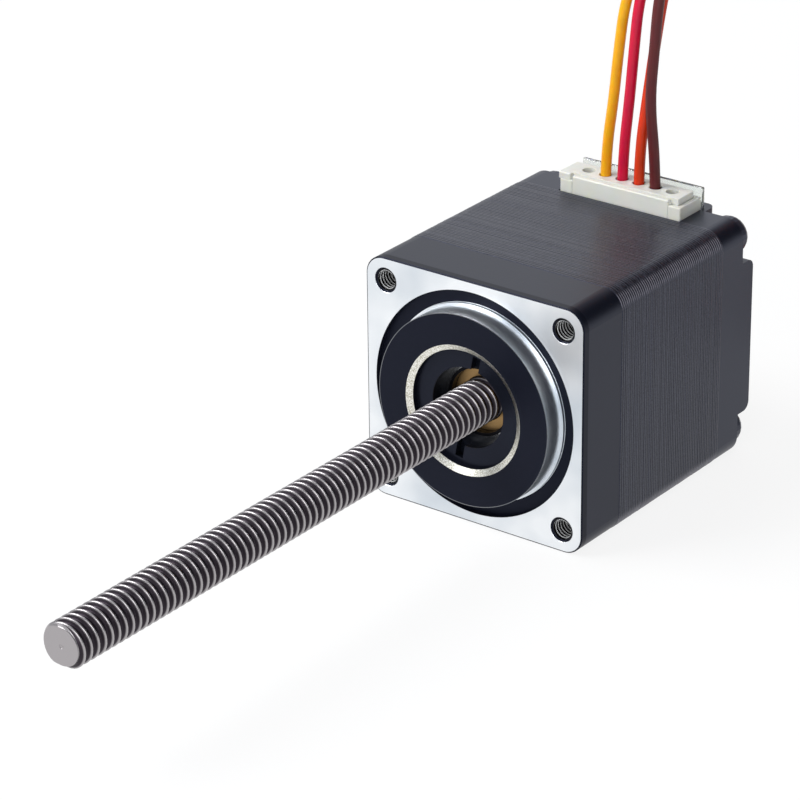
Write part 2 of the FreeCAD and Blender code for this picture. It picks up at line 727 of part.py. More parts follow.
def terminal_board():
    body = new_body("terminal_board")
    plate = across(body, BOARD_FRONT)
    box_outline(plate, HEADER_LEFT, HEADER_RIGHT, BOARD_BOTTOM, BOARD_TOP)
    pad(body, plate, "board_thickness")
    holes = across(body, BOARD_FRONT)
    half = "(contact_size / 2 + fit_gap)"
    for index in range(SIZES["contact_count"]):
        x = f"({FIRST_CONTACT} + contact_pitch * {index})"
        box_outline(holes, f"{x} - {half}", f"{x} + {half}", f"{CONTACT_FOOT} + contact_size / 2 - {half}",
                    f"{CONTACT_FOOT} + contact_size / 2 + {half}")
    pocket(body, holes, "board_thickness")


def connector_plug():
    """The moulded plug: a channel for each contact and a round mouth above it for the wire."""
    body = new_body("connector_plug")
    inset = "(header_wall + plug_gap)"
    block = upright(body, PLUG_BOTTOM)
    box_outline(block, f"{HEADER_LEFT} + {inset}", f"{HEADER_RIGHT} - {inset}",
                f"{HEADER_FRONT} + {inset}", f"{HEADER_REAR} - {inset}")
    feature(body, "Pad", block, Length=f"{PLUG_TOP} - {PLUG_BOTTOM}")
    mouths = upright(body, PLUG_TOP)
    for index in range(SIZES["contact_count"]):
        circle(mouths, "wire_dia / 2 + wire_play", f"{FIRST_CONTACT} + contact_pitch * {index}", WIRE_ROW)
    feature(body, "Pocket", mouths, Length="plug_cavity_depth")
    channels = upright(body, CAVITY_END)
    contact_grid(channels, "(crimp_width / 2 + fit_gap)")
    feature(body, "Pocket", channels, Length=f"{CAVITY_END} - {PLUG_BOTTOM}")


def crimp_terminals():
    """Folded sockets on the wires' ends, two places in from each end of the plug left empty."""
    body = new_body("crimp_terminals")
    half = "(crimp_width / 2)"
    hole = "(crimp_width / 2 - crimp_wall)"
    tube = upright(body, PLUG_BOTTOM)
    box_outline(tube, f"-{half}", half, f"{WIRE_ROW} - {half}", f"{WIRE_ROW} + {half}")
    feature(body, "Pad", tube, Length=f"{CAVITY_END} - {PLUG_BOTTOM}")
    socket = upright(body, f"{CAVITY_END} - crimp_wall")
    box_outline(socket, f"-{hole}", hole, f"{WIRE_ROW} - {hole}", f"{WIRE_ROW} + {hole}")
    feature(body, "Pocket", socket, Length=f"{CAVITY_END} - crimp_wall - {PLUG_BOTTOM}")
    contact_row(body, "(contact_count - 4) / 2", "4")


def coil_section(side, hole, grow):
    """The coil's outline beside its own axis: taller at the inner turns than at the outer ones."""
    low = f"({FLOOR} + tie_thickness - {grow})"
    rim = f"({FLOOR} + tie_thickness + coil_rim_height + {grow})"
    high = f"({FLOOR} + tie_thickness + coil_height + {grow})"
    inner = f"{side} * ({hole} - {grow})"
    shoulder = f"{side} * (coil_top_dia / 2 + {grow})"
    outer = f"{side} * (coil_outer_dia / 2 + {grow})"
    return [(inner, low), (outer, low), (outer, rim), (shoulder, high), (inner, high)]


def beside_the_coil(body):
    sketch = sketch_on(body, "XZ_Plane")
    bind(body, Placement__Base__x="coil_x", Placement__Base__y="coil_y")
    return sketch


def wire_coil():
    body = new_body("wire_coil")
    section = beside_the_coil(body)
    outline(section, coil_section("1", "coil_inner_dia / 2", "0"))
    turned(body, "Revolution", section)


def coil_tie():
    """A strap round the coil's section, at its left side."""
    body = new_body("coil_tie")
    hole = "coil_inner_dia / 2 - tie_gap"
    loop = beside_the_coil(body)
    outline(loop, coil_section("-1", hole, "tie_thickness"))
    band = feature(body, "Pad", loop, Length="tie_width")
    band.Midplane = True
    opening = beside_the_coil(body)
    outline(opening, coil_section("-1", hole, "0"))
    cut = feature(body, "Pocket", opening, Length="2 * tie_width")
    cut.Midplane = True


# The four leads. Each list starts where the wire meets its terminal and ends at the top of its own
# turns in the coil. ARCH is the stretch that all four share, through the middle of the bundle.
WIRE_STARTS = {
    "wire_yellow": [(-2.9, 29.07, 14.5), (-2.9, 29.07, 19.2), (-2.55, 29.2, 24.6), (-1.95, 29.7, 32.0)],
    "wire_red": [(-0.7, 29.07, 14.5), (-0.7, 29.07, 19.2), (-0.4, 29.45, 24.6), (0.0, 29.95, 32.0)],
    "wire_orange": [(1.5, 29.07, 14.5), (1.5, 29.07, 19.2), (1.4, 29.4, 24.6), (1.95, 30.6, 31.5)],
    "wire_brown": [(3.7, 29.07, 14.5), (3.7, 29.07, 18.7), (2.85, 28.75, 25.0), (2.85, 29.1, 32.0)],
}
ARCH = [(1.9, 32.4, 44.0), (4.9, 36.4, 50.0), (8.6, 41.2, 50.4), (11.9, 45.7, 45.0), (13.6, 48.5, 36.5),
        (14.5, 50.0, 26.0), (15.3, 51.3, 14.5), (16.5, 53.2, 3.6), (18.7, 56.6, -3.6)]
SIDEWAYS = Vector(0.848, -0.53, 0)
BUNDLE_STEP = 1.3
WIRE_ENDS = [(20.4, 63.0, -5.8), (21.5, 62.3, -7.3), (22.6, 61.6, -8.3), (23.7, 60.9, -8.9)]


def tube_along(points, diameter):
    """A round tube along straight runs joined by tangent arcs as large as the runs allow."""
    edges = []
    radii = []
    start = points[0]
    for before, corner, after in zip(points, points[1:], points[2:]):
        into = (corner - before).normalize()
        out = (after - corner).normalize()
        half_turn = math.acos(min(1.0, into.dot(out))) / 2
        reach = 0.45 * min((corner - before).Length, (after - corner).Length)
        radii.append(reach / math.tan(half_turn))
        first = corner - into * reach
        last = corner + out * reach
        middle = (first + last) / 2
        inward = (middle - corner).normalize()
        bulge = corner + inward * (radii[-1] / math.cos(half_turn) - radii[-1])
        edges.append(Part.LineSegment(start, first).toShape())
        edges.append(Part.Arc(first, bulge, last).toShape())
        start = last
    edges.append(Part.LineSegment(start, points[-1]).toShape())
    path = Part.Wire(edges)
    section = Part.Wire(Part.Circle(points[0], points[1] - points[0], diameter / 2).toShape())
    tube = path.makePipeShell([section], True, False)
    return tube, path.Length, radii


def leads():
    diameter = sheet.wire_dia
    for index, (label, start) in enumerate(WIRE_STARTS.items()):
        beside = SIDEWAYS * (BUNDLE_STEP * (index - 1.5))
        route = [Vector(*place) for place in start] + [Vector(*place) + beside for place in ARCH]
        route.append(Vector(*WIRE_ENDS[index]))
        tube, length, radii = tube_along(route, diameter)
        wire = doc.addObject("Part::Feature", label)
        wire.Label = label
        wire.Shape = tube
        nodes.append(wire)
        share = tube.Volume / (math.pi * diameter ** 2 / 4 * length)
        print(f"{label}: {length:.1f} mm long, least bend {min(radii):.1f} mm, volume share {share:.4f}")


front_flange()
bearing_lock_ring()
bearing("front", FRONT_BEARING)
stator_laminations()
insulator("front_insulator", "flange_thickness - insulator_thickness",
          "flange_thickness - insulator_thickness - insulator_lip_height")
insulator("rear_insulator", STACK_REAR, STACK_REAR)
windings("phase_a_windings", "0")
windings("phase_b_windings", POLE_PITCH)
rear_cover()
bearing("rear", REAR_BEARING)
preload_washer()
clamp_screws()
hollow_shaft()
rotor_core("rotor_core_front", CORE_FRONT, "0")
rotor_magnet()
rotor_core("rotor_core_rear", f"{CORE_FRONT} + {CORE_LENGTH} + magnet_length", f"{TOOTH_PITCH} / 2")
drive_nut()
lead_screw()
connector_header()
header_pins()
terminal_board()
connector_plug()
crimp_terminals()
leads()
wire_coil()
coil_tie()
doc.recompute()

failed = [item.Name for item in doc.Objects if "Invalid" in item.State or "Error" in item.State]
if failed:
    raise RuntimeError(f"not built: {failed}")
os.makedirs("parts", exist_ok=True)
for node in nodes:
    shape = node.Shape
    if shape.isNull() or not shape.isValid():
        raise RuntimeError(f"bad solid: {node.Label}")
for node in nodes:
    shape = node.Shape
    shape.exportStep(f"parts/{node.Label}.step")
    print(f"{node.Label}: {len(shape.Solids)} solids, {shape.Volume:.2f} mm3")
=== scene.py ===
# %% [markdown]
# # A small linear stepper motor
#
# The motor is a square block of steel sheets between two black castings. A long threaded screw runs right
# through it, and four coloured leads plug into a nylon connector on top. The construction comes from a
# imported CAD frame, in metres, with +Y running back along the screw and +Z up. This lesson dresses that
# frame: it adds the edges of the sheets, a finer thread, the leads and every finish, and never moves a
# part of the frame.

# %% Load the frame
import math
import random

import bmesh
import bpy
from mathutils import Matrix, Quaternion, Vector


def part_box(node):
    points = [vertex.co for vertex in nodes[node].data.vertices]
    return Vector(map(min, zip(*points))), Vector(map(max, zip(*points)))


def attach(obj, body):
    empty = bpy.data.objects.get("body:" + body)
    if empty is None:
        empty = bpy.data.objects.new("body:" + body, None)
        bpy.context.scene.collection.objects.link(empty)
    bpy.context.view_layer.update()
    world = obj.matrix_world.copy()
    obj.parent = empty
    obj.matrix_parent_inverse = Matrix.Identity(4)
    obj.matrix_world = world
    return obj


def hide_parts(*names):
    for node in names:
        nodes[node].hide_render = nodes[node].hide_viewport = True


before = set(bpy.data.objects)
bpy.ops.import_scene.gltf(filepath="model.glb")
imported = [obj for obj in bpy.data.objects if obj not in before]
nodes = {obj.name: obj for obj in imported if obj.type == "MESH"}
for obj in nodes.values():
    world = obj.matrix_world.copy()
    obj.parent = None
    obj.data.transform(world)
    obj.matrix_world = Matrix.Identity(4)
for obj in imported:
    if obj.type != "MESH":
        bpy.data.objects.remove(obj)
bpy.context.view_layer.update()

MM = 0.001

# %% [markdown]
# ## The camera
#
# A long lens 0.4 m away keeps the block's edges nearly parallel, as in a catalogue picture. A camera could
# be turned by three angles, but a point to aim at is easier to think about: `to_track_quat` works the turn
# out. The eye, the aim point and a slight roll are written in the object's own millimetres. The picture is
# square, so the focal length goes with a 36 mm wide sensor.

# %% Camera
CAMERA_EYE = Vector((204.49, -282.93, 163.63)) * MM
CAMERA_AIM = Vector((-6.342, -4.500, 0.515)) * MM
CAMERA_ROLL = math.radians(-0.626)
LENS_MM = 163.24
SENSOR_MM = 36
NEAREST_SEEN = 10 * MM


def put_in_scene(name, data):
    """Makes an object from a camera, a lamp, a curve or a mesh and links it to the scene."""
    item = bpy.data.objects.new(name, data)
    bpy.context.scene.collection.objects.link(item)
    return item


camera = put_in_scene("camera", bpy.data.cameras.new("camera"))
camera.data.sensor_width = SENSOR_MM
camera.data.lens = LENS_MM
camera.data.clip_start = NEAREST_SEEN
camera.location = CAMERA_EYE
look = (CAMERA_AIM - CAMERA_EYE).to_track_quat("-Z", "Y")
camera.rotation_euler = (look @ Quaternion((0, 0, 1), CAMERA_ROLL)).to_euler()
bpy.context.scene.camera = camera
bpy.context.scene.view_settings.view_transform = "Standard"
print("camera:", round((CAMERA_AIM - CAMERA_EYE).length, 3), "m from its aim point")

# %% [markdown]
# ## Material helpers
#
# A material is a tree of shader nodes, and four small functions keep it short to write. One turns a hex
# colour, as a picture editor shows it, into the linear values that a shader wants. One adds a node with
# its settings and links, so that a material reads as a list. The last two open and close a material. A Mix
# node repeats its socket names for every kind of data, so its colour sockets are called by number.

# %% Material helpers
MIX_FACTOR = 0
MIX_FIRST = 6
MIX_SECOND = 7
MIX_RESULT = 2


def hex_linear(code):
    """An sRGB hex code as linear red, green, blue and a full alpha."""
    values = [int(code[start:start + 2], 16) / 255 for start in (1, 3, 5)]
    return [v / 12.92 if v <= 0.04045 else ((v + 0.055) / 1.055) ** 2.4 for v in values] + [1.0]


def add(tree, kind, settings=None, inputs=None):
    """Adds one shader node; an input is a plain value or another node's output socket."""
    item = tree.nodes.new(f"ShaderNode{kind}")
    for name, value in (settings or {}).items():
        setattr(item, name, value)
    for name, value in (inputs or {}).items():
        if isinstance(value, bpy.types.NodeSocket):
            tree.links.new(value, item.inputs[name])
        else:
            item.inputs[name].default_value = value
    return item


def new_material(name):
    """An empty material with its tree and the object's own coordinates."""
    material = bpy.data.materials.new(name)
    material.use_nodes = True
    tree = material.node_tree
    tree.nodes.clear()
    place = add(tree, "TexCoord").outputs["Object"]
    return material, tree, place


def close_material(tree, shader):
    """Joins the last shader to the material's output."""
    add(tree, "OutputMaterial", None, {"Surface": shader.outputs[0]})


# %% [markdown]
# ## Stage and light
#
# Product pictures of black metal are made in a white tent: the black would look flat if it had nothing
# bright to mirror. The floor is one large sheet of white paper. A plain white surface would come out grey
# and uneven, so most of what the camera and the metal see of the paper is an even glow, and the rest takes
# a soft shadow.

# %% Paper floor
FLOOR_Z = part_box("stator_laminations")[0].z
FLOOR_HALF = 3.0
PAPER_GLOW = 0.86


def white_paper():
    """Seamless paper: what the eye and the metal see is white, and it still takes a soft shadow."""
    material, tree, _ = new_material("white_paper")
    path = add(tree, "LightPath")
    mirrored = add(tree, "Math", {"operation": "MAXIMUM"},
                   {0: path.outputs["Is Glossy Ray"], 1: path.outputs["Is Transmission Ray"]})
    seen = add(tree, "Math", {"operation": "MAXIMUM"},
               {0: path.outputs["Is Camera Ray"], 1: mirrored.outputs[0]})
    share = add(tree, "Math", {"operation": "MULTIPLY"}, {0: seen.outputs[0], 1: PAPER_GLOW})
    paper = add(tree, "BsdfDiffuse", None, {"Color": hex_linear("#f4f5f6")})
    glow = add(tree, "Emission", None, {"Color": hex_linear("#ffffff"), "Strength": 1.0})
    close_material(tree, add(tree, "MixShader", None,
                             {0: share.outputs[0], 1: paper.outputs[0], 2: glow.outputs[0]}))
    return material


def mesh_object(bm, name, material):
    """Writes a bmesh to a new object that sits at the origin."""
    mesh = bpy.data.meshes.new(name)
    bm.to_mesh(mesh)
    bm.free()
    mesh.materials.append(material)
    return put_in_scene(name, mesh)


bm = bmesh.new()
bmesh.ops.create_grid(bm, x_segments=1, y_segments=1, size=FLOOR_HALF)
bmesh.ops.translate(bm, verts=bm.verts, vec=(0, 0, FLOOR_Z))
floor = mesh_object(bm, "floor", white_paper())
print("floor at", round(FLOOR_Z / MM, 2), "mm")

# %% [markdown]
# The world is a soft white dome with one dark card in it, behind on the right. Real photographers hang
# such cards: the rounded long edges of the motor mirror it, so they turn deep black beside the grey of the
# flat sides. Three lamps add the direction: a strong one high on the left, one low from the front, and a
# wide, weak one behind on the left.

# %% Tent and lamps
DARK_CARD = Vector((0.45, 0.72, 0.53)).normalized()
CARD_OUTER = 0.80
CARD_INNER = 0.95
TENT_LIGHT = 0.55
LAMPS = {
    "key_left": {"place": (-0.45, -0.35, 0.60), "size": 0.50, "power": 7.0},
    "front_low": {"place": (0.30, -0.75, 0.25), "size": 0.45, "power": 3.0},
    "rear_left": {"place": (-0.50, 0.65, 0.40), "size": 0.60, "power": 0.9},
}

world = bpy.data.worlds.new("tent")
world.use_nodes = True
dome = world.node_tree
dome.nodes.clear()
sight = add(dome, "TexCoord").outputs["Generated"]
toward = add(dome, "VectorMath", {"operation": "DOT_PRODUCT"}, {0: sight, 1: DARK_CARD})
card = add(dome, "MapRange", {"interpolation_type": "SMOOTHSTEP"},
           {"Value": toward.outputs["Value"], "From Min": CARD_OUTER, "From Max": CARD_INNER})
cloth = add(dome, "Mix", {"data_type": "RGBA"}, {
    MIX_FACTOR: card.outputs[0], MIX_FIRST: hex_linear("#eef2f7"), MIX_SECOND: hex_linear("#1c1e24")})
shine = add(dome, "Background", None, {"Color": cloth.outputs[MIX_RESULT], "Strength": TENT_LIGHT})
add(dome, "OutputWorld", None, {"Surface": shine.outputs[0]})
bpy.context.scene.world = world

for name, lamp in LAMPS.items():
    light = bpy.data.lights.new(name, "AREA")
    light.energy = lamp["power"]
    light.size = lamp["size"]
    holder = put_in_scene(name, light)
    holder.location = lamp["place"]
    holder.rotation_euler = (-Vector(lamp["place"])).to_track_quat("-Z", "Y").to_euler()
print("tent with", len(LAMPS), "lamps")

# %% [markdown]
# ## The leads
#
# Each lead is thin stranded wire in soft PVC. Extruded PVC has an even, slightly waxy gloss, and its
# pigment is never quite uniform. Two helpers serve it and later finishes as well: one lays slow clouds of
# tone over a colour, the other makes a surface a little uneven. Both take the pattern's size in
# millimetres.

# %% Lead insulation
def cloudy_colour(tree, place, colour, size, share):
    """One pigment under slow clouds of tone, whose size is in millimetres and whose share is from 0 to 1."""
    cloud = add(tree, "TexNoise", None, {"Vector": place, "Scale": 1 / (size * MM), "Detail": 3.0})
    tone = add(tree, "Mix", {"data_type": "RGBA", "blend_type": "MULTIPLY"},
               {MIX_FACTOR: share, MIX_FIRST: hex_linear(colour), MIX_SECOND: cloud.outputs["Color"]})
    return tone.outputs[MIX_RESULT]


def fine_grain(tree, place, size, detail, strength, depth):
    """A surface that is a little uneven; the size and the depth of its grain are in millimetres."""
    grain = add(tree, "TexNoise", None, {"Vector": place, "Scale": 1 / (size * MM), "Detail": detail})
    bump = add(tree, "Bump", None,
               {"Height": grain.outputs["Fac"], "Strength": strength, "Distance": depth * MM})
    return bump.outputs[0]


def pvc_insulation(name, colour):
    """Extruded soft PVC: a smooth, slightly waxy gloss over one strong pigment."""
    material, tree, place = new_material(f"pvc_{name}")
    tint = cloudy_colour(tree, place, colour, size=1.5, share=0.35)
    lifted = add(tree, "HueSaturation", None, {"Color": tint, "Saturation": 1.08, "Value": 1.08})
    close_material(tree, add(tree, "BsdfPrincipled", None, {
        "Base Color": lifted.outputs[0], "Roughness": 0.40, "Specular IOR Level": 0.3,
        "Normal": fine_grain(tree, place, size=0.25, detail=2.0, strength=0.25, depth=0.01),
        "Subsurface Weight": 0.12, "Subsurface Radius": (0.4 * MM, 0.3 * MM, 0.2 * MM)}))
    return material


# %% [markdown]
# Each lead is 1.2 mm thick and 300 mm long. The four leave the plug straight up, lean together as a
# bundle, arch over and come down behind the motor. The length that nobody needs is wound into one neat
# coil with a tie. A curve object with a round bevel is the plain way to make a cord: the route's points
# are the control points of one smooth spline, and the coil's turns are more points of the same spline,
# worked out by a loop. The points are in millimetres.

# %% Lead routes
WIRE_DIAMETER = 1.2 * MM
WIRE_LENGTH = 0.300
LEADS = {
    "wire_yellow": {
        "colour": "#e3a210", "coil_radius": 5.3, "end": (20.4, 63.0, -5.8),
        "start": [(-2.9, 29.07, 14.5), (-2.85, 29.07, 19.2), (-2.12, 29.25, 25.1),
                  (-1.71, 29.5, 30.9), (-1.16, 29.8, 36.7), (0.1, 31.8, 43.1)]},
    "wire_red": {
        "colour": "#c4143a", "coil_radius": 6.6, "end": (21.5, 62.3, -7.3),
        "start": [(-0.7, 29.07, 14.5), (-0.58, 29.07, 19.5), (-0.07, 29.3, 25.5),
                  (0.21, 29.6, 31.3), (0.48, 30.0, 36.9), (1.4, 31.5, 43.2)]},
    "wire_orange": {
        "colour": "#c73c22", "coil_radius": 7.9, "end": (22.6, 61.6, -8.3),
        "start": [(1.5, 29.07, 14.5), (1.5, 29.07, 19.6), (1.94, 29.7, 25.8),
                  (2.32, 30.4, 31.5), (2.69, 31.2, 37.0), (3.2, 32.6, 43.3)]},
    "wire_brown": {
        "colour": "#552123", "coil_radius": 9.2, "end": (23.7, 60.9, -8.9),
        "start": [(3.7, 29.07, 14.5), (3.55, 29.07, 19.5), (2.9, 28.75, 26.0),
                  (3.22, 29.0, 32.0), (3.42, 29.3, 37.7), (3.9, 30.6, 43.5)]},
}
ARCH = [(4.0, 34.0, 48.3), (6.6, 38.0, 50.7), (9.4, 42.1, 50.1), (11.8, 45.8, 46.7), (13.2, 48.0, 41.6),
        (13.9, 49.0, 34.5), (14.5, 50.0, 26.0), (15.3, 51.3, 14.5), (16.5, 53.2, 3.6), (18.7, 56.6, -3.6)]
SIDEWAYS = Vector((0.848, -0.53, 0))
BUNDLE_STEP = 1.3
LENGTH_BEFORE_COIL = 106.4
COIL_CENTRE = Vector((15.9, 65.8, 0))
COIL_STEP = 1.25
COIL_START_ANGLE = math.atan2(SIDEWAYS.y, SIDEWAYS.x)
COIL_POINTS_PER_TURN = 16
COIL_GAP = 0.35
COIL_FLOOR = FLOOR_Z / MM + COIL_GAP + WIRE_DIAMETER / MM / 2


def coil_turns(radius, top, spare):
    """Points of a coil that winds down from its first point, layer by layer, for a given length."""
    turns = spare / (2 * math.pi * radius)
    count = round(turns * COIL_POINTS_PER_TURN)
    for step in range(1, count + 1):
        turned = step / COIL_POINTS_PER_TURN
        angle = COIL_START_ANGLE + 2 * math.pi * turned
        drop = min(COIL_STEP * turned, top - COIL_FLOOR)
        yield COIL_CENTRE + Vector((radius * math.cos(angle), radius * math.sin(angle), top - drop))


def lead_route(index, lead):
    """All the points of one lead: up from the plug, over the arch in its own place, and the coil."""
    beside = SIDEWAYS * (BUNDLE_STEP * (index - (len(LEADS) - 1) / 2))
    route = [Vector(point) for point in lead["start"]]
    route += [Vector(point) + beside for point in ARCH]
    route.append(Vector(lead["end"]))
    route += coil_turns(lead["coil_radius"], lead["end"][2], WIRE_LENGTH / MM - LENGTH_BEFORE_COIL)
    return route


# %% Lead cords
ROUND_STEPS = 5
STEPS_BETWEEN_POINTS = 6
SPLINE_ORDER = 3

for index, (name, lead) in enumerate(LEADS.items()):
    route = lead_route(index, lead)
    curve = bpy.data.curves.new(name, "CURVE")
    curve.dimensions = "3D"
    curve.bevel_depth = WIRE_DIAMETER / 2
    curve.bevel_resolution = ROUND_STEPS
    curve.resolution_u = STEPS_BETWEEN_POINTS
    curve.use_fill_caps = True
    spline = curve.splines.new("NURBS")
    spline.points.add(len(route) - 1)
    for point, place in zip(spline.points, route):
        point.co = (*(place * MM), 1.0)
    spline.order_u = SPLINE_ORDER
    spline.use_endpoint_u = True
    curve.materials.append(pvc_insulation(name, lead["colour"]))
    cord = put_in_scene(f"{name}_lead", curve)
    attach(cord, "motor")
    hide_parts(name, "wire_coil")
    print(name, "route of", len(route), "points")

# %% [markdown]
# ## The lead screw
#
# The screw is rolled from steel bar. The nut rubs its crests bright, and the valleys get painted shade, a
# dark colour for the shade that falls between the crests. An image could be wrapped round it, but the
# distance from the axis already tells a crest from a valley, so the material measures that and follows every
# turn of the thread by itself. The two flat ends are bright as well.

# %% Rolled steel
VALLEY_SHADE_R = 2.27 * MM
RUBBED_R = 2.46 * MM
END_BAND = 0.15 * MM


def from_axis(tree, place):
    """The three coordinates, and the distance from the screw's axis."""
    split = add(tree, "SeparateXYZ", None, {0: place})
    across = add(tree, "CombineXYZ", None, {"X": split.outputs["X"], "Z": split.outputs["Z"]})
    radius = add(tree, "VectorMath", {"operation": "LENGTH"}, {0: across.outputs[0]})
    return split, radius.outputs["Value"]


def rolled_steel(front_y, rear_y):
    """Bright crests where the nut rubs, and painted shade in the valleys between them."""
    material, tree, place = new_material("rolled_steel")
    split, radius = from_axis(tree, place)
    height = add(tree, "MapRange", {"interpolation_type": "SMOOTHSTEP"},
                 {"Value": radius, "From Min": VALLEY_SHADE_R, "From Max": RUBBED_R})
    front = add(tree, "Math", {"operation": "LESS_THAN"}, {0: split.outputs["Y"], 1: front_y + END_BAND})
    rear = add(tree, "Math", {"operation": "GREATER_THAN"}, {0: split.outputs["Y"], 1: rear_y - END_BAND})
    ends = add(tree, "Math", {"operation": "ADD"}, {0: front.outputs[0], 1: rear.outputs[0]})
    bright = add(tree, "Math", {"operation": "MAXIMUM"}, {0: height.outputs[0], 1: ends.outputs[0]})
    # The dark first colour is painted shade in the valleys; the light second colour is the steel itself.
    colour = add(tree, "Mix", {"data_type": "RGBA"}, {
        MIX_FACTOR: bright.outputs[0], MIX_FIRST: hex_linear("#353036"), MIX_SECOND: hex_linear("#a9a5a7")})
    rough = add(tree, "MapRange", None, {"Value": bright.outputs[0], "To Min": 0.42, "To Max": 0.33})
    # Real scratches are finer: they are drawn 0.3 mm wide so that they show
    close_material(tree, add(tree, "BsdfPrincipled", None, {
        "Base Color": colour.outputs[MIX_RESULT], "Metallic": 1.0, "Roughness": rough.outputs[0],
        "Normal": fine_grain(tree, place, size=0.3, detail=4.0, strength=0.08, depth=0.01)}))
    return material


# %% [markdown]
# Threads, screws and stacks are all made by a few bmesh steps, so these come first. bmesh operators give
# back mixed lists, and two functions pick out the points or the edges. One spins a line of points about
# the Y axis, one cuts a shape flat across it, one extrudes a loop of edges, and the last one writes the
# finished shape to an object that sits at the origin and rides on a body of the frame.

# %% Mesh helpers
def everything(bm):
    """All points, edges and faces of a bmesh."""
    return bm.verts[:] + bm.edges[:] + bm.faces[:]


def verts_of(items):
    """The points in a mixed list."""
    return [item for item in items if isinstance(item, bmesh.types.BMVert)]


def edges_of(items):
    """The edges in a mixed list."""
    return [item for item in items if isinstance(item, bmesh.types.BMEdge)]


def spin_profile(bm, points, steps, turns=1, pitch=0.0, merge=False):
    """Spins a line of points about the Y axis; with a pitch, it climbs as a thread does."""
    profile = [bm.verts.new(point) for point in points]
    edges = [bm.edges.new(pair) for pair in zip(profile, profile[1:])]
    bmesh.ops.spin(bm, geom=profile + edges, cent=(0, 0, 0), axis=(0, 1, 0), dvec=(0, pitch / steps, 0),
                   angle=2 * math.pi * turns, steps=steps * turns, use_merge=merge)


def cut_flat(bm, y, outward):
    """Cuts off what lies past a plane across the Y axis, and gives back the edges of the cut."""
    cut = bmesh.ops.bisect_plane(bm, geom=everything(bm), plane_co=(0, y, 0), plane_no=(0, outward, 0),
                                 clear_outer=True)
    return edges_of(cut["geom_cut"])


def grow(bm, loop):
    """Extrudes a loop of edges, and gives back the new edges and the new points."""
    grown = bmesh.ops.extrude_edge_only(bm, edges=loop)["geom"]
    return edges_of(grown), verts_of(grown)


def finish_piece(bm, name, body, material, smooth=True):
    """Writes a bmesh to an object at the origin that rides on a body of the frame."""
    piece = mesh_object(bm, name, material)
    polygons = piece.data.polygons
    polygons.foreach_set("use_smooth", [smooth] * len(polygons))
    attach(piece, body)
    print(f"{name}: {len(polygons)} faces on {body}")
    return piece


# %% [markdown]
# A rolled thread is one tooth profile carried round a helix. `bmesh.ops.spin` makes one turn of it: it
# turns the profile about the axis and shifts it a little each time, so that the full turn moves it by one
# pitch. The turn is then doubled again and again until it is longer than the screw, which is far quicker
# than spinning every turn.

# %% Screw thread
PITCH = 1.0 * MM
CREST_R = 2.5 * MM
CREST_EDGE_R = 2.42 * MM
ROOT_EDGE_R = 2.07 * MM
ROOT_R = 2.02 * MM
THREAD = [(0.00, ROOT_R), (0.22, ROOT_R), (0.29, ROOT_EDGE_R), (0.39, CREST_EDGE_R), (0.44, CREST_R),
          (0.56, CREST_R), (0.61, CREST_EDGE_R), (0.71, ROOT_EDGE_R), (0.78, ROOT_R), (1.00, ROOT_R)]
STEPS_PER_TURN = 36
TURNS_BEFORE = 2
TURNS_SPARE = 3
SEAM = 0.002 * MM

screw_low, screw_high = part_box("lead_screw")
start_y = screw_low.y - TURNS_BEFORE * PITCH
turns = math.ceil((screw_high.y - screw_low.y) / PITCH) + TURNS_SPARE
bm = bmesh.new()
spin_profile(bm, [(radius, start_y + share * PITCH, 0) for share, radius in THREAD], STEPS_PER_TURN,
             pitch=PITCH)
made = 1
while made < turns:
    copy = bmesh.ops.duplicate(bm, geom=everything(bm))
    bmesh.ops.translate(bm, verts=verts_of(copy["geom"]), vec=(0, made * PITCH, 0))
    made *= 2
bmesh.ops.remove_doubles(bm, verts=bm.verts, dist=SEAM)
print("thread:", made, "turns before its ends are cut")

# %% [markdown]
# The ends are cut flat and closed. The chamfer could be a boolean with a cone, but it is enough that no point
# may stand outside of that cone. The small mark in the middle of each end is what a lathe centre leaves. The
# edges round the flat ends are set sharp, so that smooth shading doesn't blur them.

# %% Screw ends
END_R = 2.28 * MM
CENTRE_SHARE = 0.12
CENTRE_STEP = 0.02 * MM
CENTRE_DEPTH = 0.04 * MM
ACROSS_AXIS = 0.99
SHARP_ANGLE = 0.3

for y, outward in ((screw_low.y, -1), (screw_high.y, 1)):
    face = bmesh.ops.edgeloop_fill(bm, edges=cut_flat(bm, y, outward))["faces"]
    bmesh.ops.inset_region(bm, faces=face, thickness=CENTRE_STEP)
    bmesh.ops.scale(bm, verts=face[0].verts, vec=(CENTRE_SHARE, 1, CENTRE_SHARE))
    bmesh.ops.inset_region(bm, faces=face, thickness=CENTRE_STEP)
    bmesh.ops.translate(bm, verts=face[0].verts, vec=(0, -CENTRE_DEPTH * outward, 0))
for vert in bm.verts:
    from_end = min(vert.co.y - screw_low.y, screw_high.y - vert.co.y)
    limit = END_R + max(from_end, 0)
    radius = math.hypot(vert.co.x, vert.co.z)
    if radius > limit:
        vert.co.x *= limit / radius
        vert.co.z *= limit / radius
bmesh.ops.recalc_face_normals(bm, faces=bm.faces)
for edge in bm.edges:
    if any(abs(face.normal.y) > ACROSS_AXIS for face in edge.link_faces):
        edge.smooth = edge.calc_face_angle(0) < SHARP_ANGLE
steel = rolled_steel(screw_low.y, screw_high.y)
screw = finish_piece(bm, "screw_thread", "lead_screw", steel)
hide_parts("lead_screw")

# %% [markdown]
# ## The front flange
#
# The flange is a black anodised casting, and the lathe and the mill then cut some of its surfaces bare.
# The coat is satin, with the slight orange peel of the casting under it, and what it mirrors looks a
# little blue. The bare aluminium is bright, with slow clouds of tone. Each is a function that gives back a
# shader, so that one material can hold both, and the other black pieces can use the coat again.

# %% Black coat and bare metal
COAT_MIRRORS = "#b3beec"
COAT_GLOSS = 0.36


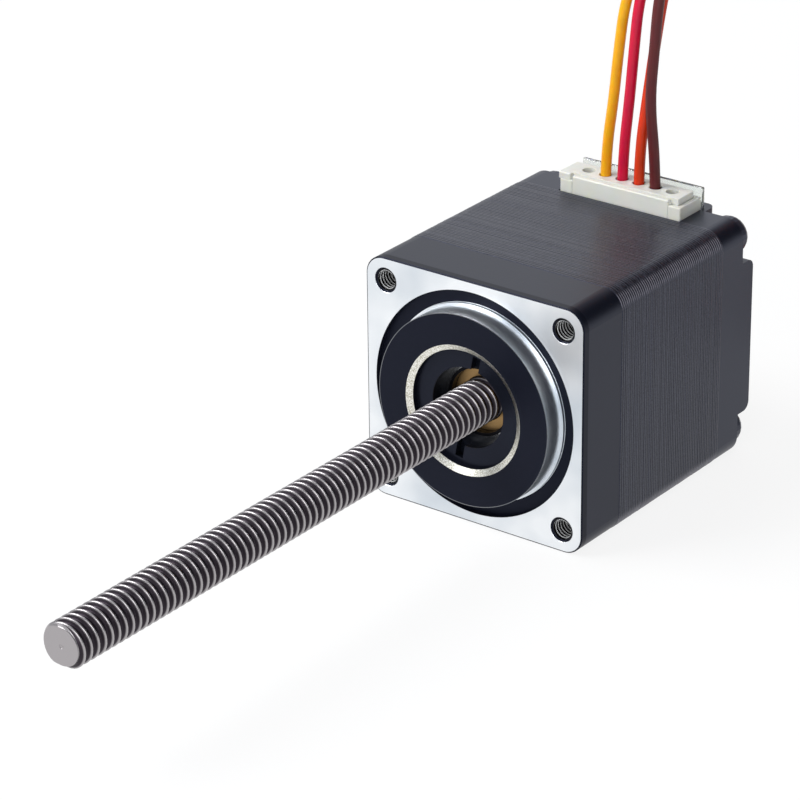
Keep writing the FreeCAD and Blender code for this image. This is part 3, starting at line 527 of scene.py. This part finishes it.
def black_coat(tree, place, colour="#10121b", roughness=0.38, level=COAT_GLOSS):
    """A thin satin coat with the slight orange peel of a cast surface under it."""
    return add(tree, "BsdfPrincipled", None, {
        "Base Color": hex_linear(colour), "Roughness": roughness, "Specular IOR Level": level,
        "Specular Tint": hex_linear(COAT_MIRRORS),
        "Normal": fine_grain(tree, place, size=0.35, detail=3.0, strength=0.18, depth=0.02)})


def bare_metal(tree, place, light="#f3f6f9", dark="#d3dae1", cloud_size=9.0, roughness=0.34):
    """Freshly cut aluminium, with slow clouds of tone and a fine grain."""
    cloud = add(tree, "TexNoise", None, {"Vector": place, "Scale": 1 / (cloud_size * MM), "Detail": 2.0})
    tone = add(tree, "MapRange", None, {"Value": cloud.outputs["Fac"], "From Min": 0.38, "From Max": 0.68})
    colour = add(tree, "Mix", {"data_type": "RGBA"}, {
        MIX_FACTOR: tone.outputs[0], MIX_FIRST: hex_linear(light), MIX_SECOND: hex_linear(dark)})
    # The marks of a real cutter are finer: they are drawn 0.12 mm wide so that they show
    return add(tree, "BsdfPrincipled", None, {
        "Base Color": colour.outputs[MIX_RESULT], "Metallic": 1.0, "Roughness": roughness,
        "Normal": fine_grain(tree, place, size=0.12, detail=3.0, strength=0.15, depth=0.01)})


# %% [markdown]
# The flange is one CAD node, and its mesh stays as it is, so one material has to know where the bare metal
# is. Masks made from the distance to the axis and the depth along it say so: the mounting face outside the
# ring groove up to a thin black rim, the wall of the pilot boss with the ledge at its foot, and the
# chamfer of its bore, which is coarser. The front corner of the boss is bare only in part. The coat
# mirrors less at the front than on the sides. The zones are in millimetres.

# %% Flange masks
BARE_ZONES = {
    "mounting face": {"radius": (12.86, 25.0), "depth": (-0.03, 0.03), "share": 1.0},
    "boss wall": {"radius": (10.97, 11.03), "depth": (-1.99, 0.46), "share": 1.0},
    "boss corner": {"radius": (10.92, 11.03), "depth": (-2.01, -1.99), "share": 0.22},
    "boss ledge": {"radius": (10.98, 11.33), "depth": (0.42, 0.83), "share": 1.0},
}
BORE_ZONE = {"radius": (6.76, 7.46), "depth": (-2.01, -1.57)}
HALF_FACE = 14.1 * MM
CORNER_R = 2.3 * MM
RIM = 0.16 * MM


def zone_mask(tree, radius, depth, zone):
    """1 inside a band of radius and depth, both in millimetres, and 0 outside it."""
    parts = []
    for value, (low, high) in ((radius, zone["radius"]), (depth, zone["depth"])):
        band = add(tree, "Math", {"operation": "COMPARE"},
                   {0: value, 1: (low + high) / 2 * MM, 2: (high - low) / 2 * MM})
        parts.append(band.outputs[0])
    return add(tree, "Math", {"operation": "MULTIPLY"}, {0: parts[0], 1: parts[1]}).outputs[0]


def from_corner(tree, split, corner, beyond=False):
    """The distance to the nearest of four mirrored corners, or only how far a place lies beyond it."""
    offsets = {}
    for axis in "XZ":
        size = add(tree, "Math", {"operation": "ABSOLUTE"}, {0: split.outputs[axis]})
        offset = add(tree, "Math", {"operation": "SUBTRACT"}, {0: size.outputs[0], 1: corner})
        if beyond:
            offset = add(tree, "Math", {"operation": "MAXIMUM"}, {0: offset.outputs[0], 1: 0.0})
        offsets[axis] = offset.outputs[0]
    across = add(tree, "CombineXYZ", None, offsets)
    return add(tree, "VectorMath", {"operation": "LENGTH"}, {0: across.outputs[0]}).outputs["Value"]


def inside_rim(tree, split):
    """1 inside a rounded square that leaves a thin black rim along the edge of the face, and 0 on the rim."""
    distance = from_corner(tree, split, HALF_FACE - CORNER_R, beyond=True)
    return add(tree, "Math", {"operation": "LESS_THAN"}, {0: distance, 1: CORNER_R - RIM}).outputs[0]


# %% Flange finish
FRONT_GLOSS = 0.14
FRONT_ENDS = 0.85 * MM
SIDE_STARTS = 0.95 * MM


def flange_finish():
    """Black coat, with bare aluminium where the casting was turned and milled."""
    material, tree, place = new_material("flange_finish")
    split, radius = from_axis(tree, place)
    depth = split.outputs["Y"]
    bare_and_glints = 0.0
    for label, zone in BARE_ZONES.items():
        mask = zone_mask(tree, radius, depth, zone)
        if label == "mounting face":
            inside = inside_rim(tree, split)
            mask = add(tree, "Math", {"operation": "MULTIPLY"}, {0: mask, 1: inside}).outputs[0]
        shown = add(tree, "Math", {"operation": "MULTIPLY"}, {0: mask, 1: zone["share"]}).outputs[0]
        bare_and_glints = add(tree, "Math", {"operation": "MAXIMUM"}, {0: bare_and_glints, 1: shown}).outputs[0]
    level = add(tree, "MapRange", None, {"Value": depth, "From Min": FRONT_ENDS, "From Max": SIDE_STARTS,
                                         "To Min": FRONT_GLOSS, "To Max": COAT_GLOSS})
    black = black_coat(tree, place, level=level.outputs[0])
    metal = bare_metal(tree, place)
    surface = add(tree, "MixShader", None, {0: bare_and_glints, 1: black.outputs[0], 2: metal.outputs[0]})
    speckled = bare_metal(tree, place, "#fbfaf4", "#b3af9c", cloud_size=0.14, roughness=0.30)
    bore = zone_mask(tree, radius, depth, BORE_ZONE)
    close_material(tree, add(tree, "MixShader", None,
                             {0: bore, 1: surface.outputs[0], 2: speckled.outputs[0]}))
    return material


def dress(node, material):
    """Gives a CAD node a better material; its mesh stays as it is."""
    slots = nodes[node].material_slots
    if slots:
        slots[0].material = material
    else:
        nodes[node].data.materials.append(material)


dress("front_flange", flange_finish())
print("front_flange:", len(BARE_ZONES) + 1, "bare zones")

# %% [markdown]
# The four corner holes are tapped M2.5. The ridges that the tap leaves get a painted highlight, and the
# valleys get painted shade. The distance from each hole's own axis tells them apart, as the distance from the
# screw's axis does on the screw.

# %% Tapped metal
HOLE_PLACE = 11.5 * MM
TAP_INNER = 1.05 * MM
LIT_RIDGE_BAND = 0.08 * MM


def tapped_metal_painted_light():
    """Painted highlight on the ridges, painted shade in the valleys; radius from each hole's own axis."""
    material, tree, place = new_material("tapped_metal_painted_light")
    split = add(tree, "SeparateXYZ", None, {0: place})
    height = add(tree, "MapRange", {"interpolation_type": "SMOOTHSTEP"}, {
        "Value": from_corner(tree, split, HOLE_PLACE), "From Min": TAP_INNER,
        "From Max": TAP_INNER + LIT_RIDGE_BAND, "To Min": 1.0, "To Max": 0.0})
    # Near white is a painted highlight on the ridges, and near black is painted shade in the valleys.
    colour = add(tree, "Mix", {"data_type": "RGBA"}, {
        MIX_FACTOR: height.outputs[0], MIX_FIRST: hex_linear("#0a0a0d"), MIX_SECOND: hex_linear("#fdfefe")})
    close_material(tree, add(tree, "BsdfPrincipled", None, {
        "Base Color": colour.outputs[MIX_RESULT], "Metallic": 0.55, "Roughness": 0.25}))
    return material


# %% [markdown]
# A tap leaves a helical ridge, so the same spin as on the screw makes it, with the profile pointing inwards.
# Its two ends are cut flat and joined by an outer wall, so that the thread is a closed sleeve. One sleeve is
# made and then copied to the other corners.

# %% Tapped holes
TAP_PITCH = 0.45 * MM
TAP_OUTER = 1.25 * MM
TAP_RIDGE = [(0.0, TAP_OUTER), (0.42, TAP_INNER), (0.58, TAP_INNER), (1.0, TAP_OUTER)]
TAP_DEPTH = 3.6 * MM
TAP_FRONT = 0.2 * MM
TAP_STEPS = 28
SLEEVE_R = 1.3 * MM
FINE_SEAM = 0.001 * MM


def copy_to_corners(bm):
    """Moves a shape from the axis to one corner hole, and copies it to the other three."""
    first = everything(bm)
    bmesh.ops.translate(bm, verts=bm.verts, vec=(HOLE_PLACE, 0, HOLE_PLACE))
    for x, z in ((-1, 1), (1, -1), (-1, -1)):
        copy = bmesh.ops.duplicate(bm, geom=first)
        bmesh.ops.translate(bm, verts=verts_of(copy["geom"]),
                            vec=((x - 1) * HOLE_PLACE, 0, (z - 1) * HOLE_PLACE))


bm = bmesh.new()
tap_turns = int(TAP_DEPTH / TAP_PITCH) + 1
spin_profile(bm, [(0, (share - 1) * TAP_PITCH, radius) for share, radius in TAP_RIDGE], TAP_STEPS,
             turns=tap_turns, pitch=TAP_PITCH)
bmesh.ops.remove_doubles(bm, verts=bm.verts, dist=FINE_SEAM)
sleeve = []
for y, outward in ((TAP_FRONT, -1), (TAP_DEPTH - TAP_FRONT, 1)):
    outer, ring = grow(bm, cut_flat(bm, y, outward))
    for vert in ring:
        stretch = SLEEVE_R / math.hypot(vert.co.x, vert.co.z)
        vert.co.x *= stretch
        vert.co.z *= stretch
    sleeve += outer
bmesh.ops.bridge_loops(bm, edges=sleeve)
bmesh.ops.recalc_face_normals(bm, faces=bm.faces)
copy_to_corners(bm)
finish_piece(bm, "hole_threads", "motor", tapped_metal_painted_light())

# %% [markdown]
# ## The lamination stack
#
# The middle of the motor is a pack of punched steel sheets, each about a third of a millimetre thick, with
# black paint over their edges. The paint is finely lined along the sheets. On the rounded long edges the
# sheets get a painted glint, a row of bright lines: a wave with the pitch of the sheets draws them, and the
# distance from a line a little beside the edge's middle fades them out.

# %% Sheet edges
SHEET = 0.35 * MM
GLINT_SHIFT = 0.8 * MM
GLINTS_WITHIN = 0.5 * MM
GLINTS_GONE_BY = 1.4 * MM
GLINT_SHARE = 0.85


def sheet_edges():
    """Black paint on sheet edges: satin, finely lined along the sheets, with painted glints on the rounded
    edges.
    """
    material, tree, place = new_material("sheet_edges")
    split = add(tree, "SeparateXYZ", None, {0: place})
    lines = add(tree, "TexNoise", {"noise_dimensions": "1D"},
                {"W": split.outputs["Y"], "Scale": 1 / (0.22 * MM), "Detail": 2.0})
    # Real specks are finer: they are drawn 0.16 mm wide so that they show
    speck = add(tree, "TexNoise", None, {"Vector": place, "Scale": 1 / (0.16 * MM), "Detail": 4.0})
    both = add(tree, "Math", {"operation": "MULTIPLY"}, {0: lines.outputs["Fac"], 1: speck.outputs["Fac"]})
    thin = add(tree, "MapRange", None, {"Value": both.outputs[0], "From Min": 0.16, "From Max": 0.42})
    paint = add(tree, "Mix", {"data_type": "RGBA"}, {
        MIX_FACTOR: thin.outputs[0], MIX_FIRST: hex_linear("#0d0d13"), MIX_SECOND: hex_linear("#3f404a")})
    wide, high = [add(tree, "Math", {"operation": "ABSOLUTE"}, {0: split.outputs[axis]}) for axis in "XZ"]
    from_diagonal = add(tree, "Math", {"operation": "SUBTRACT"}, {0: wide.outputs[0], 1: high.outputs[0]})
    from_glint_line = add(tree, "Math", {"operation": "SUBTRACT"}, {0: from_diagonal.outputs[0], 1: GLINT_SHIFT})
    distance = add(tree, "Math", {"operation": "ABSOLUTE"}, {0: from_glint_line.outputs[0]})
    # A painted glint: rows of bright grey lines along the sheets on the rounded edges, in place of
    # reflections.
    glint_band = add(tree, "MapRange", {"interpolation_type": "SMOOTHSTEP"}, {
        "Value": distance.outputs[0], "From Min": GLINTS_WITHIN, "From Max": GLINTS_GONE_BY,
        "To Min": GLINT_SHARE, "To Max": 0.0})
    phase = add(tree, "Math", {"operation": "MULTIPLY"}, {0: split.outputs["Y"], 1: 2 * math.pi / SHEET})
    wave = add(tree, "Math", {"operation": "SINE"}, {0: phase.outputs[0]})
    ridge = add(tree, "MapRange", None, {"Value": wave.outputs[0], "From Min": 0.45, "From Max": 0.95})
    bare_and_glints = add(tree, "Math", {"operation": "MULTIPLY"}, {0: glint_band.outputs[0], 1: ridge.outputs[0]})
    colour = add(tree, "Mix", {"data_type": "RGBA"}, {
        MIX_FACTOR: bare_and_glints.outputs[0], MIX_FIRST: paint.outputs[MIX_RESULT], MIX_SECOND: hex_linear("#8e8a94")})
    bump = add(tree, "Bump", None, {"Height": both.outputs[0], "Strength": 0.4, "Distance": 0.02 * MM})
    close_material(tree, add(tree, "BsdfPrincipled", None, {
        "Base Color": colour.outputs[MIX_RESULT], "Roughness": 0.34, "Specular IOR Level": COAT_GLOSS,
        "Specular Tint": hex_linear(COAT_MIRRORS), "Normal": bump.outputs[0]}))
    return material


# %% [markdown]
# A bump could draw the joints between the sheets, but then the outline of the stack would stay smooth. The
# piece starts as one rounded square instead and is extruded step by step along Y; at every joint between
# two sheets the outline dips in a little. Each sheet stands out by its own small amount, because no press
# stacks them perfectly. Two last steps turn the outline in and back to the start, which closes it as a
# thin shell.

# %% Lamination edges
CORNER_SEGMENTS = 8
SHEET_STANDS = 0.020 * MM
SHEET_SCATTER = 0.014 * MM
JOINT_STANDS = 0.004 * MM
FLANK = 0.2
SHELL_WALL = 0.3 * MM

stack_low, stack_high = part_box("stator_laminations")
length = stack_high.y - stack_low.y
sheets = round(length / SHEET)
sheet_length = length / sheets
scatter = random.Random(11)
outline = []
for sheet in range(sheets):
    stands = SHEET_STANDS + scatter.uniform(0.0, SHEET_SCATTER)
    outline += [(sheet + FLANK, stands), (sheet + 1 - FLANK, stands), (sheet + 1, JOINT_STANDS)]

bm = bmesh.new()
bmesh.ops.create_grid(bm, x_segments=1, y_segments=1, size=stack_high.x,
                      matrix=Matrix.Translation((0, stack_low.y, 0)) @ Matrix.Rotation(math.pi / 2, 4, "X"))
bmesh.ops.bevel(bm, geom=bm.verts[:], offset=CORNER_R, segments=CORNER_SEGMENTS, profile=0.5,
                affect="VERTICES", material=-1)
bmesh.ops.delete(bm, geom=bm.faces[:], context="FACES_ONLY")
first_loop = bm.edges[:]
loop = first_loop
half = stack_high.x
passed = 0.0
for along, stands in outline:
    loop, ring = grow(bm, loop)
    size = (stack_high.x + stands) / half
    bmesh.ops.translate(bm, verts=ring, vec=(0, (along - passed) * sheet_length, 0))
    bmesh.ops.scale(bm, verts=ring, vec=(size, 1, size))
    half = stack_high.x + stands
    passed = along
for inwards, shift in ((SHELL_WALL, 0), (0, -length)):
    loop, ring = grow(bm, loop)
    size = 1 - inwards / half
    bmesh.ops.scale(bm, verts=ring, vec=(size, 1, size))
    bmesh.ops.translate(bm, verts=ring, vec=(0, shift, 0))
bmesh.ops.bridge_loops(bm, edges=first_loop + loop)
bmesh.ops.recalc_face_normals(bm, faces=bm.faces)
finish_piece(bm, "lamination_edges", "motor", sheet_edges())

# %% [markdown]
# ## The rear cover and its screws
#
# The rear cover is a casting with the same black coat as the flange, and nothing on it was cut bare, so it
# wears the coat alone. It mirrors a little more than the flange does.

# %% Rear cover
COVER_GLOSS = 0.52


def plain_black(name, colour, roughness, level=COAT_GLOSS):
    """The black coat alone: satin, with a little orange peel."""
    material, tree, place = new_material(name)
    close_material(tree, black_coat(tree, place, colour, roughness, level))
    return material


cover_coat = plain_black("cover_coat", "#12141d", 0.38, COVER_GLOSS)
dress("rear_cover", cover_coat)
print("rear_cover:", cover_coat.name)

# %% [markdown]
# Four long screws come in from the cover's corners and hold the stack together. One screw is a profile spun
# round its axis, from the tip to the dome of the head. A boolean could press the cross into the head, but
# joining loops is cleaner: a star of twelve points is joined to the round rim of the dome, and its floor is
# pushed in. The screw is then copied to the other corners. The head's edge is a short list in millimetres:
# how far each point lies inside the head's radius, and how high above its seat.

# %% Clamp screws
HEAD_R = 2.2 * MM
HEAD_H = 2.2 * MM
SHANK_R = 1.2 * MM
TOP_R = 1.5 * MM
HEAD_EDGE = [(0.3, 0.0), (0.3, 0.12), (0.0, 0.3), (0.0, 1.4), (0.16, 1.8), (0.4, 2.08)]
HEAD_STEPS = 24
CROSS_ARM = 1.15 * MM
CROSS_HALF = 0.24 * MM
CROSS_DEPTH = 0.9 * MM
CROSS_TAPER = 0.8

clamp_low, clamp_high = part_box("clamp_screws")
seat = clamp_high.y - HEAD_H
head = [(HEAD_R - inset * MM, seat + height * MM) for inset, height in HEAD_EDGE]
turned = [(0.0, clamp_low.y), (SHANK_R, clamp_low.y), (SHANK_R, seat), *head, (TOP_R, clamp_high.y)]
bm = bmesh.new()
spin_profile(bm, [(radius, y, 0) for radius, y in turned], HEAD_STEPS, merge=True)
bmesh.ops.remove_doubles(bm, verts=bm.verts, dist=FINE_SEAM)
rim = [edge for edge in bm.edges if edge.is_boundary]
star = []
arm = [(CROSS_ARM, -CROSS_HALF), (CROSS_ARM, CROSS_HALF), (CROSS_HALF, CROSS_HALF)]
for _ in range(4):
    star += [bm.verts.new((x, clamp_high.y, z)) for x, z in arm]
    arm = [(-z, x) for x, z in arm]
star_edges = [bm.edges.new(pair) for pair in zip(star, star[1:] + star[:1])]
bmesh.ops.bridge_loops(bm, edges=rim + star_edges)
floor_edges, floor_verts = grow(bm, star_edges)
bmesh.ops.translate(bm, verts=floor_verts, vec=(0, -CROSS_DEPTH, 0))
bmesh.ops.scale(bm, verts=floor_verts, vec=(CROSS_TAPER, 1, CROSS_TAPER))
bmesh.ops.edgeloop_fill(bm, edges=floor_edges)
copy_to_corners(bm)
bmesh.ops.recalc_face_normals(bm, faces=bm.faces)
oxide = plain_black("black_oxide", "#2b2c36", 0.32)
clamps = finish_piece(bm, "clamp_heads", "motor", oxide, smooth=False)
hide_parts("clamp_screws")

# %% [markdown]
# ## The connector
#
# The header and the plug are moulded from natural nylon, which is milky: light goes in, spreads and comes
# out again, so shadows on it are soft. Subsurface scattering gives that, and some transmission lets the
# thin walls glow. The header's back wall is thin and nearly clear.

# %% Nylon
def natural_nylon(name, colour, through, roughness):
    """Moulded nylon without pigment: milky, with soft shadows and a dull gloss."""
    material, tree, place = new_material(name)
    tone = cloudy_colour(tree, place, colour, size=2.0, share=0.10)
    close_material(tree, add(tree, "BsdfPrincipled", None, {
        "Base Color": tone, "Roughness": roughness, "IOR": 1.53, "Transmission Weight": through,
        "Subsurface Weight": 0.85, "Subsurface Radius": (2.6 * MM, 2.5 * MM, 2.1 * MM)}))
    return material


nylon = natural_nylon("natural_nylon", "#f0f0e9", 0.30, 0.42)
clear_nylon = natural_nylon("clear_nylon", "#eef2ee", 0.92, 0.06)
dress("connector_plug", nylon)
print("connector_plug:", nylon.name)

# %% [markdown]
# The header is drawn as its outline seen from above, a letter C that is open to the front, and extruded
# upwards. A bevel on all sharp edges stands for the small radii of the mould, which catch the light.

# %% Header shell
WALL = 0.6 * MM
JAW = 1.6 * MM
RIM_DROP = 0.9 * MM
MOULD_R = 0.12 * MM
MOULD_ANGLE = 0.6
MOULD_SEGMENTS = 2

header_low, header_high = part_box("connector_header")
left, front, base = header_low
right, back, top = header_high
rim_z = top - RIM_DROP
PLAN = [(left, front), (left + JAW, front), (left + JAW, front + WALL), (left + WALL, front + WALL),
        (left + WALL, back - WALL), (right - WALL, back - WALL), (right - WALL, front + WALL),
        (right - JAW, front + WALL), (right - JAW, front), (right, front), (right, back), (left, back)]
bm = bmesh.new()
plan = bm.faces.new([bm.verts.new((x, y, base)) for x, y in PLAN])
raised = bmesh.ops.extrude_face_region(bm, geom=[plan])["geom"]
bmesh.ops.translate(bm, verts=verts_of(raised), vec=(0, 0, rim_z - base))
bmesh.ops.recalc_face_normals(bm, faces=bm.faces)
sharp = [edge for edge in bm.edges if edge.calc_face_angle(0) > MOULD_ANGLE]
bmesh.ops.bevel(bm, geom=sharp, offset=MOULD_R, segments=MOULD_SEGMENTS, profile=0.5, affect="EDGES",
                material=-1)
shell = finish_piece(bm, "header_shell", "motor", nylon, smooth=False)
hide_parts("connector_header")

# %% [markdown]
# Four rounded blocks complete the connector: the floor of the header, the front of the plug between its
# jaws, the lip of the plug that lies over the header's left end, and the clear back wall. Each is a cube
# that a matrix brings to its place and size before its edges are rounded, so one loop makes them all.

# %% Connector blocks
FLOOR_H = 1.2 * MM
LAP = 0.02 * MM
PLUG_BEHIND = 0.15 * MM
PLUG_DROP = 0.35 * MM
LIP_OUT = 0.26 * MM
LIP_BACK = 0.08 * MM
LIP_UNDER = 0.12 * MM
LIP_SHORT = 0.3 * MM
LIP_DROP = 0.17 * MM
CLEAR_INSET = 0.1 * MM
CLEAR_LAP = 0.06 * MM
CLEAR_BACK = 0.4 * MM
CLEAR_OUT = 0.2 * MM
BLOCK_SEGMENTS = 3
BLOCKS = {
    "header_floor": {
        "low": (left + WALL, front + WALL, base), "high": (right - WALL, back - WALL, base + FLOOR_H),
        "round": 0.10 * MM, "material": nylon},
    "plug_front": {
        "low": (left + JAW - LAP, front + LAP, base),
        "high": (right - JAW + LAP, front + WALL + PLUG_BEHIND, top - PLUG_DROP),
        "round": 0.16 * MM, "material": nylon},
    "plug_lip": {
        "low": (left - LIP_OUT, front + LIP_BACK, rim_z - LIP_UNDER),
        "high": (left + JAW - LIP_SHORT, back - WALL, top - LIP_DROP),
        "round": 0.14 * MM, "material": nylon},
    "back_wall": {
        "low": (left + CLEAR_INSET, back - CLEAR_LAP, base),
        "high": (right + CLEAR_OUT, back + CLEAR_BACK, top + CLEAR_OUT),
        "round": 0.2 * MM, "material": clear_nylon},
}
for name, block in BLOCKS.items():
    low = Vector(block["low"])
    high = Vector(block["high"])
    box = Matrix.Translation((low + high) / 2) @ Matrix.Diagonal((*(high - low), 1))
    bm = bmesh.new()
    bmesh.ops.create_cube(bm, size=1.0, matrix=box)
    bmesh.ops.bevel(bm, geom=bm.edges[:], offset=block["round"], segments=BLOCK_SEGMENTS, profile=0.5,
                    affect="EDGES", material=-1)
    finish_piece(bm, name, "motor", block["material"], smooth=False)

# %% [markdown]
# ## Everything inside
#
# The parts inside are seen only through the bore or when the motor is taken apart, but each has its own
# finish: brass for the nut, ground steel for the bearings, varnished copper for the coils, and steel coloured
# nearly black for the shaft, as painted shade deep in the bore. Two plain recipes cover nearly all of them,
# one for metal and one for plastic. The ring that locks the front bearing has one of its own: its front face
# has the black coat, and its bore has next to no gloss, as painted shade inside it.

# %% Inner recipes
ROUGHNESS_SPREAD = 0.06
RING_GLOSS = 0.22
SHADED_BORE_GLOSS = 0.02
FACE_ENDS = 0.05 * MM
BORE_STARTS = 0.15 * MM


def plain_metal(name, colour, roughness):
    """Ground or turned metal: a fine grain that also varies its gloss."""
    material, tree, place = new_material(name)
    # Real grain is finer: it is drawn 0.2 mm wide so that it shows
    grain = add(tree, "TexNoise", None, {"Vector": place, "Scale": 1 / (0.2 * MM), "Detail": 3.0})
    bump = add(tree, "Bump", None, {"Height": grain.outputs["Fac"], "Strength": 0.15, "Distance": 0.01 * MM})
    rough = add(tree, "MapRange", None, {
        "Value": grain.outputs["Fac"],
        "To Min": roughness - ROUGHNESS_SPREAD, "To Max": roughness + ROUGHNESS_SPREAD})
    close_material(tree, add(tree, "BsdfPrincipled", None, {
        "Base Color": hex_linear(colour), "Metallic": 1.0, "Roughness": rough.outputs[0],
        "Normal": bump.outputs[0]}))
    return material


def plain_plastic(name, colour, roughness):
    """Moulded plastic: an even gloss over a pigment with slight clouds."""
    material, tree, place = new_material(name)
    tone = cloudy_colour(tree, place, colour, size=0.8, share=0.2)
    close_material(tree, add(tree, "BsdfPrincipled", None, {"Base Color": tone, "Roughness": roughness}))
    return material


def lock_ring_finish():
    """The black coat of the castings on the front face, and painted shade inside the bore: next to no gloss
    there.
    """
    material, tree, place = new_material("lock_ring_black")
    split = add(tree, "SeparateXYZ", None, {0: place})
    face_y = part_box("bearing_lock_ring")[0].y
    # Gloss fades out behind the front face: painted shade for the shadow inside the ring's bore.
    level = add(tree, "MapRange", None, {
        "Value": split.outputs["Y"], "From Min": face_y + FACE_ENDS, "From Max": face_y + BORE_STARTS,
        "To Min": RING_GLOSS, "To Max": SHADED_BORE_GLOSS})
    close_material(tree, black_coat(tree, place, "#0f1118", 0.30, level.outputs[0]))
    return material


# %% [markdown]
# Two tables say which node wears which finish, with its colour and its roughness. Nodes of the same stuff
# share one material.

# %% Inner finishes
ENDS = ("front", "rear")
METALS = {
    "turned_brass": ("#9d7f55", 0.36, ["drive_nut"]),
    # Nearly black steel on the shaft is painted shade for the dark deep inside the bore.
    "shaft_steel": ("#1a1a1e", 0.40, ["hollow_shaft"]),
    "rotor_steel": ("#6d6e73", 0.40, [f"rotor_core_{end}" for end in ENDS]),
    "nickel_plate": ("#a7a59c", 0.22, ["rotor_magnet"]),
    "spring_steel": ("#8b8780", 0.30, ["preload_washer"]),
    "varnished_copper": ("#a9592f", 0.34, ["phase_a_windings", "phase_b_windings"]),
    "tin_pins": ("#cfd0cd", 0.24, ["header_pins"]),
    "tin_crimps": ("#cfd0cd", 0.28, ["crimp_terminals"]),
    "sheet_steel": ("#4a4b50", 0.42, ["stator_laminations"]),
    "shield_steel": ("#9b9da1", 0.28, [f"{end}_bearing_shields" for end in ENDS]),
    "bearing_steel": ("#c3c5c8", 0.18, [
        f"{end}_bearing_{piece}" for end in ENDS for piece in ("outer_ring", "inner_ring", "balls")]),
}
PLASTICS = {
    "insulator_nylon": ("#26262a", 0.5, [f"{end}_insulator" for end in ENDS]),
    "cage_nylon": ("#c8c2ad", 0.45, [f"{end}_bearing_cage" for end in ENDS]),
    "laminate_board": ("#2f5a34", 0.45, ["terminal_board"]),
    "tie_nylon": ("#1d1d1f", 0.4, ["coil_tie"]),
}
dress("bearing_lock_ring", lock_ring_finish())
for recipe, table in ((plain_metal, METALS), (plain_plastic, PLASTICS)):
    for name, (colour, roughness, wearers) in table.items():
        material = recipe(name, colour, roughness)
        for node in wearers:
            dress(node, material)
        print(name, "on", ", ".join(wearers))
